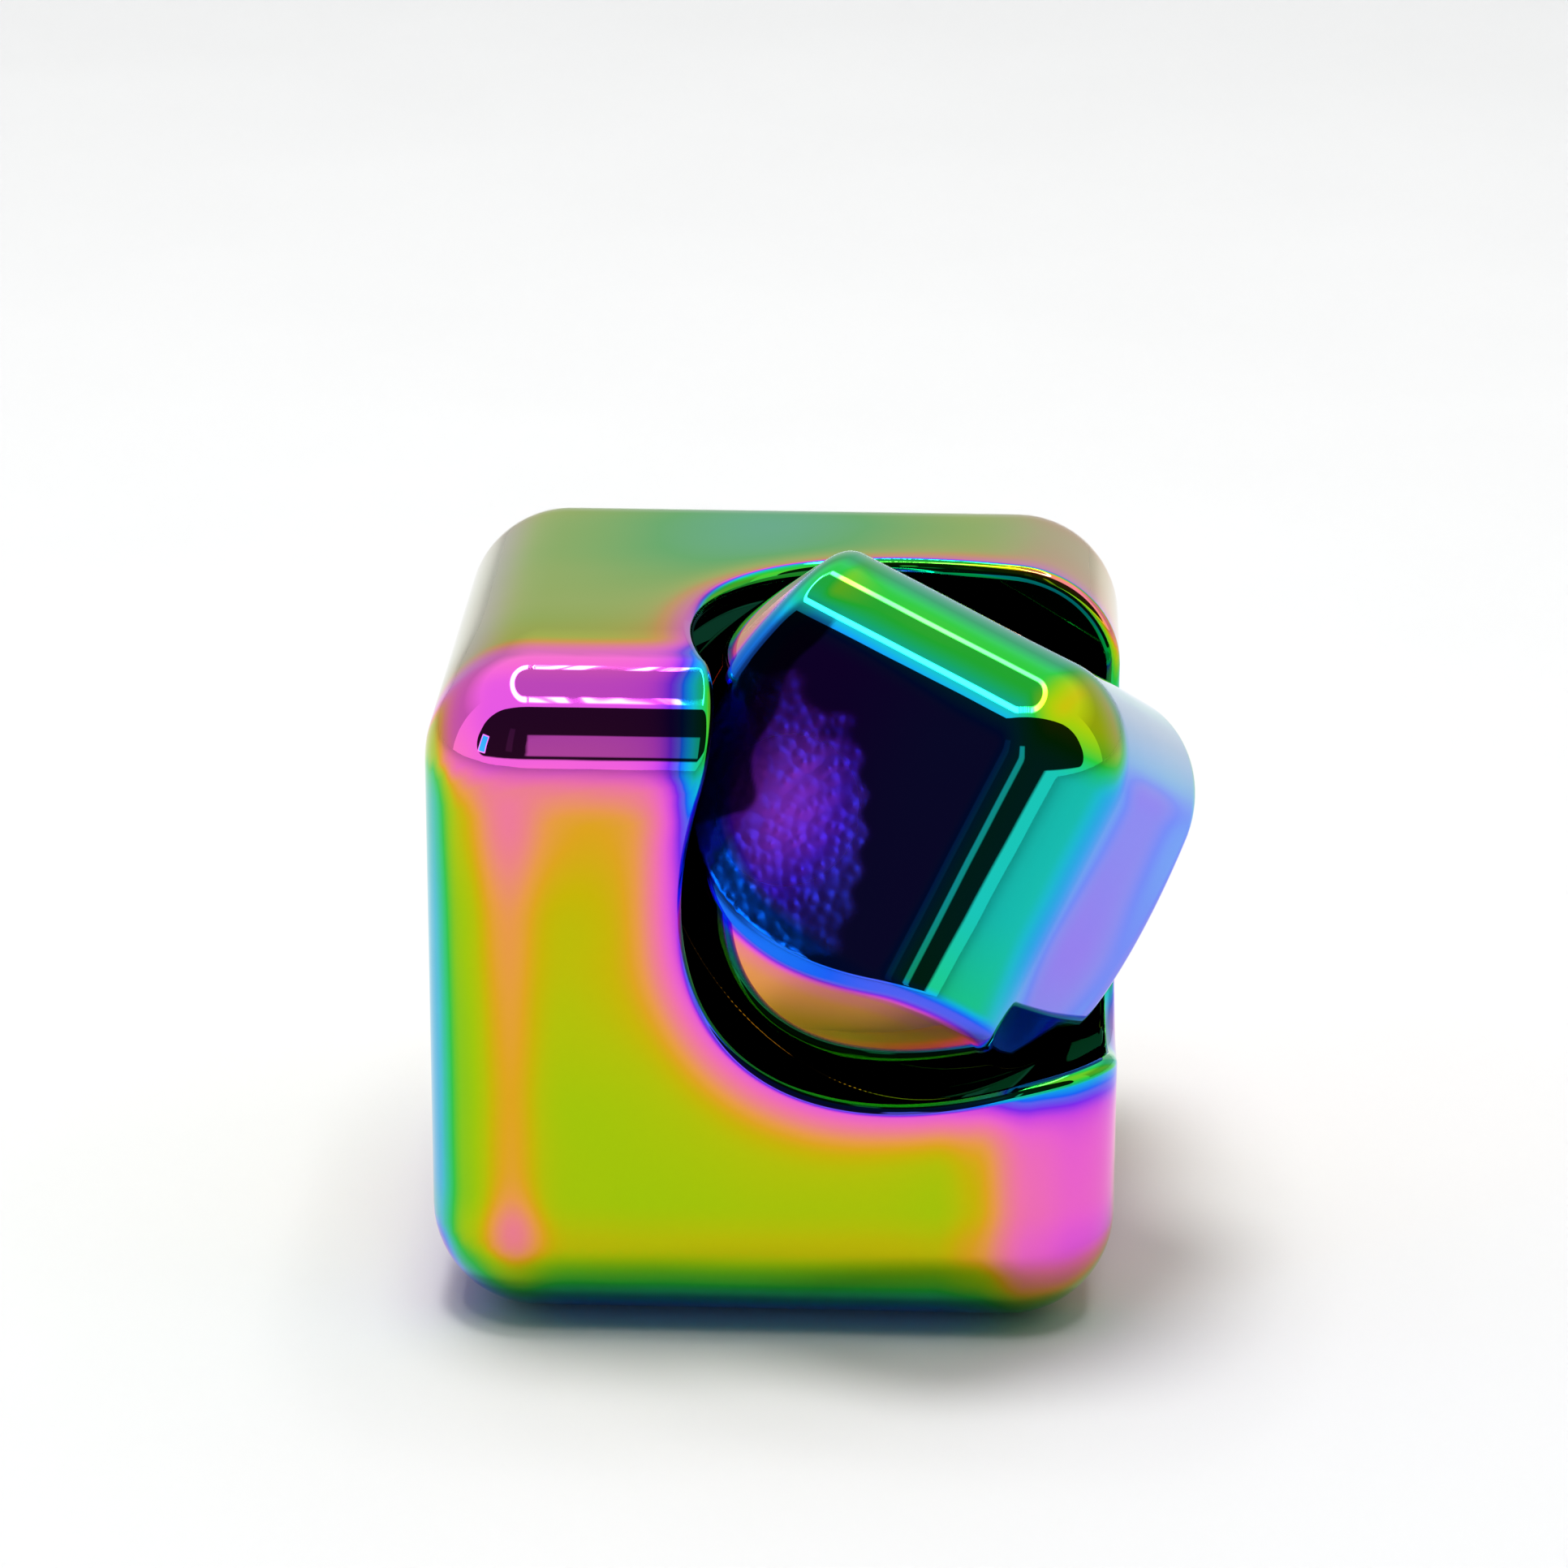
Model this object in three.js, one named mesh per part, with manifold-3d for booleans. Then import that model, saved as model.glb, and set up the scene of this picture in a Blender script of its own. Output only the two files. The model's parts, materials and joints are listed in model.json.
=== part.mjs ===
// Fidget cube: a rounded die-cast metal cube whose top front right corner is a separate casting that spins about
// the cube's body diagonal, on a small deep-groove ball bearing hidden under it.
//
// Millimetres, +Z up. The cube stands on z = 0 and is centred on the Z axis; the spinning corner is at +X, -Y, +Z.
// Every turned piece is described by a profile of (radius, depth) points round the spin axis. Depth runs along that
// axis from the cube's sharp corner, the point where its three faces would meet without their rounding, into the cube.

import * as THREE from "three";
import { RoundedBoxGeometry } from "three/addons/geometries/RoundedBoxGeometry.js";
import { mergeVertices } from "three/addons/utils/BufferGeometryUtils.js";
import Module from "manifold-3d";

// ---- Driving dimensions ----

// Cube
const cubeSide = 27;
const edgeRadius = 4.2;

// Spinning corner
const spinnerRadius = 10.6;
const spinnerSkirt = 3; // round wall left below the lowest point of the corner's faces
const spinnerStandOff = 0.6; // how far its faces stand proud of the cube's along the axis
const spinnerRestTurn = 40; // degrees from flush, clockwise looking at the corner
const spinnerBreak = 0.6; // chamfer where its round wall meets its underside

// Socket in the cube
const socketGap = 0.9; // radial, round the spinning corner
const bearingRecess = 0.1; // how far the bearing's face lies below the socket's floor
const reliefDepth = 3.4; // room behind the bearing for the screw head
const reliefShoulder = 1.35; // width of the step that the bearing's outer race sits on

// Ball bearing, 1/4 x 1/2 x 3/16 inch
const bearingBore = 6.35;
const bearingOuterDiameter = 12.7;
const bearingWidth = 4.762;
const ballDiameter = 1.5875;
const ballCount = 10;
const ballClearance = 0.06; // between a ball and each raceway
const racewayShoulder = 0.28; // how far each race's shoulder stands above the bottom of its raceway
const raceChamfer = 0.3;
const raceRimWall = 0.6; // outer race's wall where the shield and its snap ring sit
const cageGap = 0.1; // radial, cage to each race's shoulder
const cagePocketGap = 0.08;
const cageBackThickness = 0.5; // solid band behind the ball pockets
const cageMouthOffset = 0.6; // distance from the balls' centres to the cage's open side
const shieldThickness = 0.2;
const shieldInnerGap = 0.08;
const snapRingThickness = 0.24;
const snapRingWidth = 0.4;
const snapRingOpening = 50; // degrees
const snapGrooveDepth = 0.2;

// Axle pin, washer and screw
const shankDiameter = 4.8;
const shankLength = 7;
const shankWallAbove = 0.4; // clear room over the shank in the corner's blind hole
const landSetback = 0.19; // the flange and the washer stop this far inside the inner race's shoulder
const flangeThickness = 0.9;
const pinEndSetback = 0.25; // the pin ends short of the race, so that the screw clamps the race
const washerThickness = 0.5;
const screwDiameter = 2.9;
const screwLength = 6;
const screwHeadDiameter = 5.5;
const screwHeadHeight = 1.8;
const screwSocketWidth = 2.2; // across corners
const screwSocketDepth = 1;
const screwHoleGap = 0.12; // radial, round the screw in the pin and the washer

// Clearances between pieces that sit in or on each other
const seatGap = 0.06; // between two faces that seat on each other
const fitGap = 0.06; // radial, between a pressed pin or race and its bore

// Facets round a turned piece
const wallFacets = 72;
const ringFacets = 40;
const pinFacets = 30;
const edgeFacets = 5; // per half of a rounded edge

// ---- Sizes that follow ----

const spinnerLength = Math.SQRT2 * spinnerRadius + spinnerSkirt; // sharp corner to underside
const undersideDepth = spinnerLength - spinnerStandOff;
const flangeDepth = undersideDepth + seatGap;
const bearingDepth = flangeDepth + flangeThickness + seatGap; // the face of the bearing nearest the corner
const bearingMiddle = bearingDepth + bearingWidth / 2;
const bearingBack = bearingDepth + bearingWidth;
const socketFloorDepth = bearingDepth - bearingRecess;
const socketRadius = spinnerRadius + socketGap;
const pocketRadius = bearingOuterDiameter / 2 + fitGap;
const pocketDepth = bearingBack + seatGap;
const reliefRadius = pocketRadius - reliefShoulder;

const pitchRadius = (bearingOuterDiameter + bearingBore) / 4;
const ballRadius = ballDiameter / 2;
const racewayRadius = ballRadius + ballClearance;
const innerShoulderRadius = pitchRadius - racewayRadius + racewayShoulder;
const outerShoulderRadius = pitchRadius + racewayRadius - racewayShoulder;
const shieldSeatRadius = bearingOuterDiameter / 2 - raceRimWall;
const snapGrooveRadius = shieldSeatRadius + snapGrooveDepth;
const snapRingOffset = bearingWidth / 2 - 0.5 * raceRimWall; // its outer face, from the bearing's middle
const shieldOffset = snapRingOffset - snapRingThickness - seatGap; // the shield's outer face
const shieldSeatOffset = shieldOffset - shieldThickness - seatGap; // the step that the shield sits on

const landRadius = innerShoulderRadius - landSetback;
const journalRadius = bearingBore / 2 - fitGap;
const pinEndDepth = bearingBack - pinEndSetback;
const washerDepth = bearingBack + seatGap;
const screwHeadDepth = washerDepth + washerThickness + seatGap;
const screwBoreRadius = screwDiameter / 2 + screwHoleGap;

// ---- Materials ----

const material = (color, roughness, metalness) => new THREE.MeshStandardMaterial({ color, roughness, metalness });

const iridescentCoat = material(0xb4b82a, 0.06, 1);
const bearingSteel = material(0xc4c7cb, 0.18, 1);
const zincSteel = material(0xb0b4b8, 0.3, 1);
const stampedSteel = material(0xd0d2d6, 0.12, 1);
const cageNylon = material(0xe6e0cf, 0.5, 0);

// ---- Spin axis ----

const sharpCorner = new THREE.Vector3(cubeSide / 2, -cubeSide / 2, cubeSide);
const outwardAxis = new THREE.Vector3(1, -1, 1).normalize();

// Turns the Y axis, which three.js turns its lathes round, onto the outward spin axis.
const axisTilt = new THREE.Quaternion().setFromUnitVectors(new THREE.Vector3(0, 1, 0), outwardAxis);

const onAxis = new THREE.Matrix4().compose(sharpCorner, axisTilt, new THREE.Vector3(1, 1, 1));

// ---- Shapes ----

// A solid turned round the Y axis from (radius, depth) points, with depth running down. An outline that starts and
// ends on the axis is left open there; any other is closed on itself. Its faces always point outwards.
function turned(outline, facets) {
  const points = outline.map(([radius, depth]) => new THREE.Vector2(radius, -depth));
  const touchesAxis = outline[0][0] === 0 && outline[outline.length - 1][0] === 0;
  if (!touchesAxis) points.push(points[0].clone());
  if (THREE.ShapeUtils.area(points) < 0) points.reverse();
  return new THREE.LatheGeometry(points, facets);
}

// Points of an arc round (centreRadius, centreDepth), for a turned outline; angles are in degrees from outwards.
function arcPoints(centreRadius, centreDepth, radius, fromDegrees, toDegrees, steps) {
  return Array.from({ length: steps + 1 }, (_, i) => {
    const angle = THREE.MathUtils.degToRad(fromDegrees + ((toDegrees - fromDegrees) * i) / steps);
    return [centreRadius + radius * Math.cos(angle), centreDepth + radius * Math.sin(angle)];
  });
}

const wasm = await Module();
wasm.setup();

function solid(geometry) {
  const bare = geometry.clone();
  bare.deleteAttribute("normal");
  bare.deleteAttribute("uv");
  const merged = mergeVertices(bare, 1e-4);
  const vertProperties = new Float32Array(merged.attributes.position.array);
  const triVerts = new Uint32Array(merged.index.array);
  return new wasm.Manifold(new wasm.Mesh({ numProp: 3, vertProperties, triVerts }));
}

function geometryOf(manifold) {
  const mesh = manifold.getMesh();
  const geometry = new THREE.BufferGeometry();
  geometry.setAttribute("position", new THREE.BufferAttribute(new Float32Array(mesh.vertProperties), 3));
  geometry.setIndex(new THREE.BufferAttribute(new Uint32Array(mesh.triVerts), 1));
  geometry.computeVertexNormals();
  return geometry;
}

// The cube with its rounded edges, in place and not yet cut.
function roundedCube() {
  const geometry = new RoundedBoxGeometry(cubeSide, cubeSide, cubeSide, edgeFacets, edgeRadius);
  return geometry.translate(0, 0, cubeSide / 2);
}

// ---- Cube body ----

// One stepped bore down the diagonal: the socket, the bearing's pocket and the relief behind it.
function cubeBody() {
  const bore = turned(
    [
      [0, -cubeSide],
      [socketRadius, -cubeSide],
      [socketRadius, socketFloorDepth],
      [pocketRadius, socketFloorDepth],
      [pocketRadius, pocketDepth],
      [reliefRadius, pocketDepth],
      [reliefRadius, pocketDepth + reliefDepth],
      [0, pocketDepth + reliefDepth],
    ],
    wallFacets,
  ).applyMatrix4(onAxis);
  return geometryOf(solid(roundedCube()).subtract(solid(bore)));
}

// ---- Spinning corner ----

// The cube's corner cut round the axis, with a blind hole for the axle pin. It is built flush with the cube and
// measured from its own sharp corner.
function cornerSpinner() {
  const blank = turned(
    [
      [0, -cubeSide],
      [spinnerRadius, -cubeSide],
      [spinnerRadius, spinnerLength - spinnerBreak],
      [spinnerRadius - spinnerBreak, spinnerLength],
      [0, spinnerLength],
    ],
    wallFacets,
  ).applyMatrix4(onAxis);
  const holeRadius = shankDiameter / 2 + fitGap;
  const holeTop = spinnerLength - shankLength - shankWallAbove;
  const hole = turned(
    [
      [0, holeTop],
      [holeRadius, holeTop],
      [holeRadius, spinnerLength + 1],
      [0, spinnerLength + 1],
    ],
    pinFacets,
  ).applyMatrix4(onAxis);
  const corner = solid(roundedCube()).intersect(solid(blank)).subtract(solid(hole));
  return geometryOf(corner).translate(-sharpCorner.x, -sharpCorner.y, -sharpCorner.z);
}

// ---- Axle pin, washer and screw ----

// Shank pressed into the corner, flange against its underside, journal through the bearing, tapped from behind.
function axlePin() {
  const shankTop = undersideDepth - shankLength;
  const tappedTop = screwHeadDepth - screwLength - screwHoleGap;
  return turned(
    [
      [0, shankTop],
      [shankDiameter / 2 - 0.3, shankTop],
      [shankDiameter / 2, shankTop + 0.3],
      [shankDiameter / 2, flangeDepth],
      [landRadius, flangeDepth],
      [landRadius, flangeDepth + flangeThickness],
      [journalRadius, flangeDepth + flangeThickness],
      [journalRadius, pinEndDepth - 0.3],
      [journalRadius - 0.3, pinEndDepth],
      [screwBoreRadius, pinEndDepth],
      [screwBoreRadius, tappedTop],
      [0, tappedTop - 0.6],
    ],
    pinFacets,
  );
}

function clampWasher() {
  return turned(
    [
      [screwBoreRadius, washerDepth],
      [landRadius, washerDepth],
      [landRadius, washerDepth + washerThickness],
      [screwBoreRadius, washerDepth + washerThickness],
    ],
    pinFacets,
  );
}

// Button-head screw with a hexagon socket.
function clampScrew() {
  const headRadius = screwHeadDiameter / 2;
  const tip = screwHeadDepth - screwLength;
  const back = screwHeadDepth + screwHeadHeight;
  const body = turned(
    [
      [0, tip],
      [screwDiameter / 2 - 0.4, tip],
      [screwDiameter / 2, tip + 0.4],
      [screwDiameter / 2, screwHeadDepth],
      [headRadius, screwHeadDepth],
      [headRadius, screwHeadDepth + 0.3 * screwHeadHeight],
      [0.9 * headRadius, screwHeadDepth + 0.65 * screwHeadHeight],
      [0.7 * headRadius, back],
      [0, back],
    ],
    pinFacets,
  );
  const hexagonSides = 6;
  const hexagon = new THREE.CylinderGeometry(
    screwSocketWidth / 2,
    screwSocketWidth / 2,
    2 * screwSocketDepth,
    hexagonSides,
  );
  hexagon.translate(0, -back, 0);
  return geometryOf(solid(body).subtract(solid(hexagon)));
}

// ---- Ball bearing ----

// The rounded groove that the balls run in, as outline points. side is 1 on the outer race, -1 on the inner.
function raceway(side) {
  const shoulderAngle = THREE.MathUtils.radToDeg(Math.acos((racewayRadius - racewayShoulder) / racewayRadius));
  const middle = side > 0 ? 0 : 180;
  const steps = 6;
  return arcPoints(pitchRadius, bearingMiddle, racewayRadius, middle - shoulderAngle, middle + shoulderAngle, steps);
}

// Half of the outer race's bore, from one end face in to the shoulder; side is -1 towards the corner, 1 away.
function shieldRecess(side) {
  const at = (offset) => bearingMiddle + side * offset;
  return [
    [shieldSeatRadius, at(bearingWidth / 2)],
    [shieldSeatRadius, at(snapRingOffset + seatGap)],
    [snapGrooveRadius, at(snapRingOffset + seatGap)],
    [snapGrooveRadius, at(shieldOffset + seatGap / 2)],
    [shieldSeatRadius, at(shieldOffset + seatGap / 2)],
    [shieldSeatRadius, at(shieldSeatOffset)],
    [outerShoulderRadius, at(shieldSeatOffset)],
  ];
}

function outerRace() {
  const radius = bearingOuterDiameter / 2;
  return turned(
    [
      ...shieldRecess(-1),
      ...raceway(1),
      ...shieldRecess(1).reverse(),
      [radius - raceChamfer, bearingBack],
      [radius, bearingBack - raceChamfer],
      [radius, bearingDepth + raceChamfer],
      [radius - raceChamfer, bearingDepth],
    ],
    ringFacets,
  );
}

function innerRace() {
  const bore = bearingBore / 2;
  return turned(
    [
      [bore + raceChamfer, bearingDepth],
      [innerShoulderRadius, bearingDepth],
      ...raceway(-1).reverse(),
      [innerShoulderRadius, bearingBack],
      [bore + raceChamfer, bearingBack],
      [bore, bearingBack - raceChamfer],
      [bore, bearingDepth + raceChamfer],
    ],
    ringFacets,
  );
}

// Angle of one ball round the axis.
const ballAngle = (index) => (2 * Math.PI * index) / ballCount;

// Crown cage: a moulded band whose ball pockets open towards the corner.
function ballCage() {
  const inner = innerShoulderRadius + cageGap;
  const outer = outerShoulderRadius - cageGap;
  const pocketRadiusOfCage = ballRadius + cagePocketGap;
  const mouth = bearingMiddle - cageMouthOffset;
  const back = bearingMiddle + pocketRadiusOfCage + cageBackThickness;
  let cage = solid(
    turned(
      [
        [inner, mouth],
        [outer, mouth],
        [outer, back],
        [inner, back],
      ],
      ringFacets,
    ),
  );
  const pocketSides = 12;
  for (let i = 0; i < ballCount; i++) {
    const pocket = new THREE.CylinderGeometry(pocketRadiusOfCage, pocketRadiusOfCage, 2 * (outer - inner), pocketSides);
    pocket.rotateZ(Math.PI / 2);
    pocket.translate(pitchRadius, -bearingMiddle, 0);
    pocket.rotateY(ballAngle(i));
    cage = cage.subtract(solid(pocket));
  }
  return geometryOf(cage);
}

// side is -1 for the shield towards the corner and 1 for the one behind.
function shield(side) {
  const inner = innerShoulderRadius + shieldInnerGap;
  const outer = shieldSeatRadius - fitGap;
  const outerFace = bearingMiddle + side * shieldOffset;
  const innerFace = outerFace - side * shieldThickness;
  return turned(
    [
      [inner, innerFace],
      [outer, innerFace],
      [outer, outerFace],
      [inner, outerFace],
    ],
    ringFacets,
  );
}

// Flat C-shaped ring sprung into the outer race's groove, over the shield.
function snapRing(side) {
  const outer = snapGrooveRadius - fitGap;
  const inner = outer - snapRingWidth;
  const half = THREE.MathUtils.degToRad(snapRingOpening / 2);
  const shape = new THREE.Shape();
  shape.absarc(0, 0, outer, half, 2 * Math.PI - half, false);
  shape.absarc(0, 0, inner, 2 * Math.PI - half, half, true);
  const geometry = new THREE.ExtrudeGeometry(shape, {
    depth: snapRingThickness,
    bevelEnabled: false,
    curveSegments: ringFacets / 2,
  });
  // Laid flat round the Y axis, with its extrusion running down from the plane y = 0.
  geometry.rotateX(Math.PI / 2);
  const nearFace = side > 0 ? snapRingOffset - snapRingThickness : -snapRingOffset;
  return geometry.translate(0, -(bearingMiddle + nearFace), 0);
}

// ---- Assembly ----

function named(name, geometry, surface) {
  const mesh = new THREE.Mesh(geometry, surface);
  mesh.name = name;
  return mesh;
}

const fidgetCube = new THREE.Group();
fidgetCube.add(named("cube_body", cubeBody(), iridescentCoat));

// The corner casting, turned away from flush and set out along the axis.
const spinner = named("corner_spinner", cornerSpinner(), iridescentCoat);
spinner.quaternion.setFromAxisAngle(outwardAxis, -THREE.MathUtils.degToRad(spinnerRestTurn));
spinner.position.copy(sharpCorner).addScaledVector(outwardAxis, spinnerStandOff);
fidgetCube.add(spinner);

// Everything turned: the group's Y axis is the outward spin axis, and its origin is the sharp corner.
const axle = new THREE.Group();
axle.position.copy(sharpCorner);
axle.quaternion.copy(axisTilt);
axle.add(named("axle_pin", axlePin(), zincSteel));
axle.add(named("clamp_washer", clampWasher(), zincSteel));
axle.add(named("clamp_screw", clampScrew(), zincSteel));
axle.add(named("bearing_outer_race", outerRace(), bearingSteel));
axle.add(named("bearing_inner_race", innerRace(), bearingSteel));
axle.add(named("ball_cage", ballCage(), cageNylon));
axle.add(named("front_shield", shield(-1), stampedSteel));
axle.add(named("rear_shield", shield(1), stampedSteel));
axle.add(named("front_snap_ring", snapRing(-1), stampedSteel));
axle.add(named("rear_snap_ring", snapRing(1), stampedSteel));

const ballSegments = 12;
const ballGeometry = new THREE.SphereGeometry(ballRadius, ballSegments, ballSegments / 2);
for (let i = 0; i < ballCount; i++) {
  const ball = named("ball_" + String(i + 1).padStart(2, "0"), ballGeometry, bearingSteel);
  const angle = ballAngle(i);
  ball.position.set(pitchRadius * Math.cos(angle), -bearingMiddle, -pitchRadius * Math.sin(angle));
  ball.rotation.y = angle;
  axle.add(ball);
}
fidgetCube.add(axle);

export default fidgetCube;
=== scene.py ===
"""Fidget cube: a polished, rainbow-plated metal cube whose top front right corner spins about the body diagonal.

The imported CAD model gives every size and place. This script makes the surfaces that are seen:

- the cube and its spinning corner, as closed shells swept round the spin axis,
- the pin, washer, races and shields, as smooth turned parts read from the CAD's own outlines,
- the balls and their cage, with Geometry Nodes.
"""

import json
import math

import bpy
import numpy as np
from mathutils import Matrix, Vector


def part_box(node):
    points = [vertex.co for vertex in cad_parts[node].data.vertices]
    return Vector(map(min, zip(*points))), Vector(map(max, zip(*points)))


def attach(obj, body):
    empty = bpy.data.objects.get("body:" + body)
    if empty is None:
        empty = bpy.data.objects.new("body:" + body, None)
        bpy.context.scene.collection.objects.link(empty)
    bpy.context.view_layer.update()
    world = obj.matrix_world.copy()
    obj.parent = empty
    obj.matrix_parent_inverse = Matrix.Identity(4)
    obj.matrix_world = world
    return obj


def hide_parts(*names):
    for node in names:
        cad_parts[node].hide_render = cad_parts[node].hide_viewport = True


bl_info = {
    "name": "Fidget Cube",
    "version": (1, 0, 0),
    "blender": (4, 5, 0),
    "location": "3D View > Sidebar > Fidget Cube",
    "description": "Builds the surfaces, materials and studio of a corner-spinner fidget cube",
    "category": "Object",
}

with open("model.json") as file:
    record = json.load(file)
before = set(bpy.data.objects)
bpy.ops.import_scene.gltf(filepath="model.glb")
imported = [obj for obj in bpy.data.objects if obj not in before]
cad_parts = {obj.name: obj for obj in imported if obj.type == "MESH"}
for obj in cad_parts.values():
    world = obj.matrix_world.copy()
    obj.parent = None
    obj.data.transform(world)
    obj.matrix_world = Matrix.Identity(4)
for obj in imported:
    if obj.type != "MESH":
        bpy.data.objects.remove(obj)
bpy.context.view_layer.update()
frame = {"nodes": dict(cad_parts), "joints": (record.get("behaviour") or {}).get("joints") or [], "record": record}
MM = 0.001
MICRON = 0.001 * MM

# ---- Sizes read from the CAD solids ----

BODY_LOW, BODY_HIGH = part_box("cube_body")
SIDE = BODY_HIGH.x - BODY_LOW.x
CENTRE = np.array((BODY_LOW + BODY_HIGH) / 2)
# The point where the cube's faces would meet at the spinning corner, without their rounding.
CORNER = np.array((BODY_HIGH.x, BODY_LOW.y, BODY_HIGH.z))
SPIN_JOINT = next(j for j in frame["joints"] if j["name"] == "spinner_spin")
AXIS = np.array(SPIN_JOINT["axis"]) / np.linalg.norm(SPIN_JOINT["axis"])

# Two directions square to the spin axis: one leans up, the other makes a right-handed set.
ACROSS_UP = np.array((0, 0, 1.0)) - AXIS * AXIS[2]
ACROSS_UP /= np.linalg.norm(ACROSS_UP)
ACROSS_SIDE = np.cross(AXIS, ACROSS_UP)


def node_points(node):
    """Every vertex of a CAD node, in the row frame."""
    mesh = frame["nodes"][node].data
    points = np.empty(len(mesh.vertices) * 3, np.float32)
    mesh.vertices.foreach_get("co", points)
    return points.reshape(-1, 3).astype(float)


def axis_coordinates(points):
    """(radius, depth) of points about the spin axis; depth runs into the cube from CORNER."""
    along = (points - CORNER) @ AXIS
    across = points - CORNER - along[:, None] * AXIS
    return np.linalg.norm(across, axis=1), -along


def rounding_of_base():
    """The radius of the cube's edges, from how far its flat base stops short of its sides."""
    points = node_points("cube_body")
    base = points[np.abs(points[:, 2] - BODY_LOW.z) < 1e-6]
    return SIDE / 2 - np.abs(base[:, 0]).max()


def turned_wall(node, low, high):
    """(radius, first depth, last depth) of the round wall whose radius lies between two shares of the cube's side."""
    radii, depths = axis_coordinates(node_points(node))
    chosen = (radii > low * SIDE) & (radii < high * SIDE) & (depths > 0.3 * SIDE) & (depths < 1.2 * SIDE)
    return float(np.median(radii[chosen])), float(depths[chosen].min()), float(depths[chosen].max())


EDGE = rounding_of_base()
SOCKET_RADIUS, _, SOCKET_FLOOR = turned_wall("cube_body", 0.41, 0.44)
SEAT_RADIUS, _, SEAT_DEPTH = turned_wall("cube_body", 0.21, 0.27)
RELIEF_RADIUS, _, RELIEF_DEPTH = turned_wall("cube_body", 0.1, 0.21)
BALL_COUNT = sum(name[:5] == "ball_" and name[5:].isdigit() for name in frame["nodes"])
SPINNER_RADIUS, _, _ = turned_wall("corner_spinner", 0.391, 0.41)
HOLE_RADIUS, HOLE_DEPTH, SPINNER_UNDERSIDE = turned_wall("corner_spinner", 0.08, 0.1)


# ---- Settings ----


def size_property(name, description, millimetres):
    return bpy.props.FloatProperty(
        name=name,
        description=description,
        default=millimetres * MM,
        min=0.0,
        subtype="DISTANCE",
        unit="LENGTH",
    )


def linear(hex_colour):
    """A colour given as sRGB hex, such as "a0c314", as linear RGB."""
    channels = [int(hex_colour[i : i + 2], 16) / 255 for i in (0, 2, 4)]
    return tuple(c / 12.92 if c <= 0.04045 else ((c + 0.055) / 1.055) ** 2.4 for c in channels)


def colour_property(name, description, hex_colour):
    return bpy.props.FloatVectorProperty(
        name=name,
        description=description,
        default=linear(hex_colour),
        min=0.0,
        max=1.0,
        size=3,
        subtype="COLOR",
    )


class FidgetShapeSettings(bpy.types.PropertyGroup):
    """Small forms that the CAD solids leave sharp."""

    rim_radius: size_property("Socket rim", "Rounding where the socket meets the cube's faces", 0.42)
    end_radius: size_property("Corner end", "Rounding where the spinning corner's faces meet its round wall", 1.1)
    floor_radius: size_property("Socket fillet", "Rounding where the socket's wall meets its floor", 0.45)
    underside_radius: size_property("Underside rounding", "Rounding round the spinning corner's underside", 0.9)
    turned_rounding: size_property("Turned edges", "Rounding on the edges of the pin, washer, races and shields", 0.06)
    steps_round: bpy.props.IntProperty(
        name="Steps round",
        description="Facets round the spin axis",
        default=288,
        min=48,
        max=480,
    )
    rest_turn: bpy.props.FloatProperty(
        name="Rest turn",
        description="How far the corner stands turned from flush, clockwise looking at it",
        default=math.radians(40),
        subtype="ANGLE",
        unit="ROTATION",
    )


class FidgetFinishSettings(bpy.types.PropertyGroup):
    """The plated finish and the hidden metals."""

    polish: bpy.props.FloatProperty(
        name="Polish roughness",
        description="Roughness of the buffed and plated surface",
        default=0.02,
        min=0.0,
        max=1.0,
        subtype="FACTOR",
    )
    steel: colour_property("Bearing steel", "Ground chrome steel of the races and balls", "c9cbce")
    zinc: colour_property("Zinc plate", "Bright zinc on the pin, washer and screw", "b9bec4")
    nylon: colour_property("Cage nylon", "Natural nylon of the ball cage", "e9e2cf")


class FidgetStageSettings(bpy.types.PropertyGroup):
    """Studio round the cube."""

    paper: colour_property("Paper", "Pale floor under the cube", "bababa")
    floor_reach: size_property("Floor reach", "From the cube's middle to the floor's edges", 3000)


# ---- Mesh building ----

HALVINGS = 46  # brings a cube's width down to the last digit
RIM_STEPS, END_STEPS = 11, 15  # across the roundings of the socket's rim and the corner's end
SHELL_STEPS, CAP_STEPS = 170, 120  # over the cube's faces and the corner's
BORE_STEPS, SKIRT_STEPS = 16, 22  # down the socket's wall and the corner's
TURNED_STEPS_ROUND = 160
HUB_RADIUS = 0.1 * MM  # of the last ring before a pole on the spin axis
SHARP_ANGLE = math.radians(35)  # for the edges of the balls' cage
POCKET_GAP = 0.08 * MM  # round a ball in its cage
RACEWAY_BEND = 0.5  # radians; an outline that bends less than this is following a curve


def ease(value, low, high):
    """0 below low, 1 above high and a smooth step between them."""
    t = np.clip((value - low) / (high - low), 0, 1)
    return t * t * (3 - 2 * t)


def hump(distance, width):
    return np.exp(-((distance / width) ** 2))


def unit(vectors):
    return vectors / np.linalg.norm(vectors, axis=-1, keepdims=True)


def turn_between(start, end, share):
    """Directions part of the way from start to end along the great circle, one ring for each share."""
    angle = np.arccos(np.clip((start * end).sum(-1), -1, 1))[None, :, None]
    share = share[:, None, None]
    return (np.sin((1 - share) * angle) * start + np.sin(share * angle) * end) / np.sin(angle)


def cube_distance(points):
    """How far points lie outside the rounded cube, and the outward direction there."""
    local = points - CENTRE
    beyond = np.abs(local) - (SIDE / 2 - EDGE)
    outside = np.maximum(beyond, 0)
    length = np.linalg.norm(outside, axis=-1, keepdims=True)
    normal = np.sign(local) * outside / np.maximum(length, 1e-12)
    distance = length[..., 0] + np.minimum(beyond.max(-1), 0) - EDGE
    return distance, normal


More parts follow.
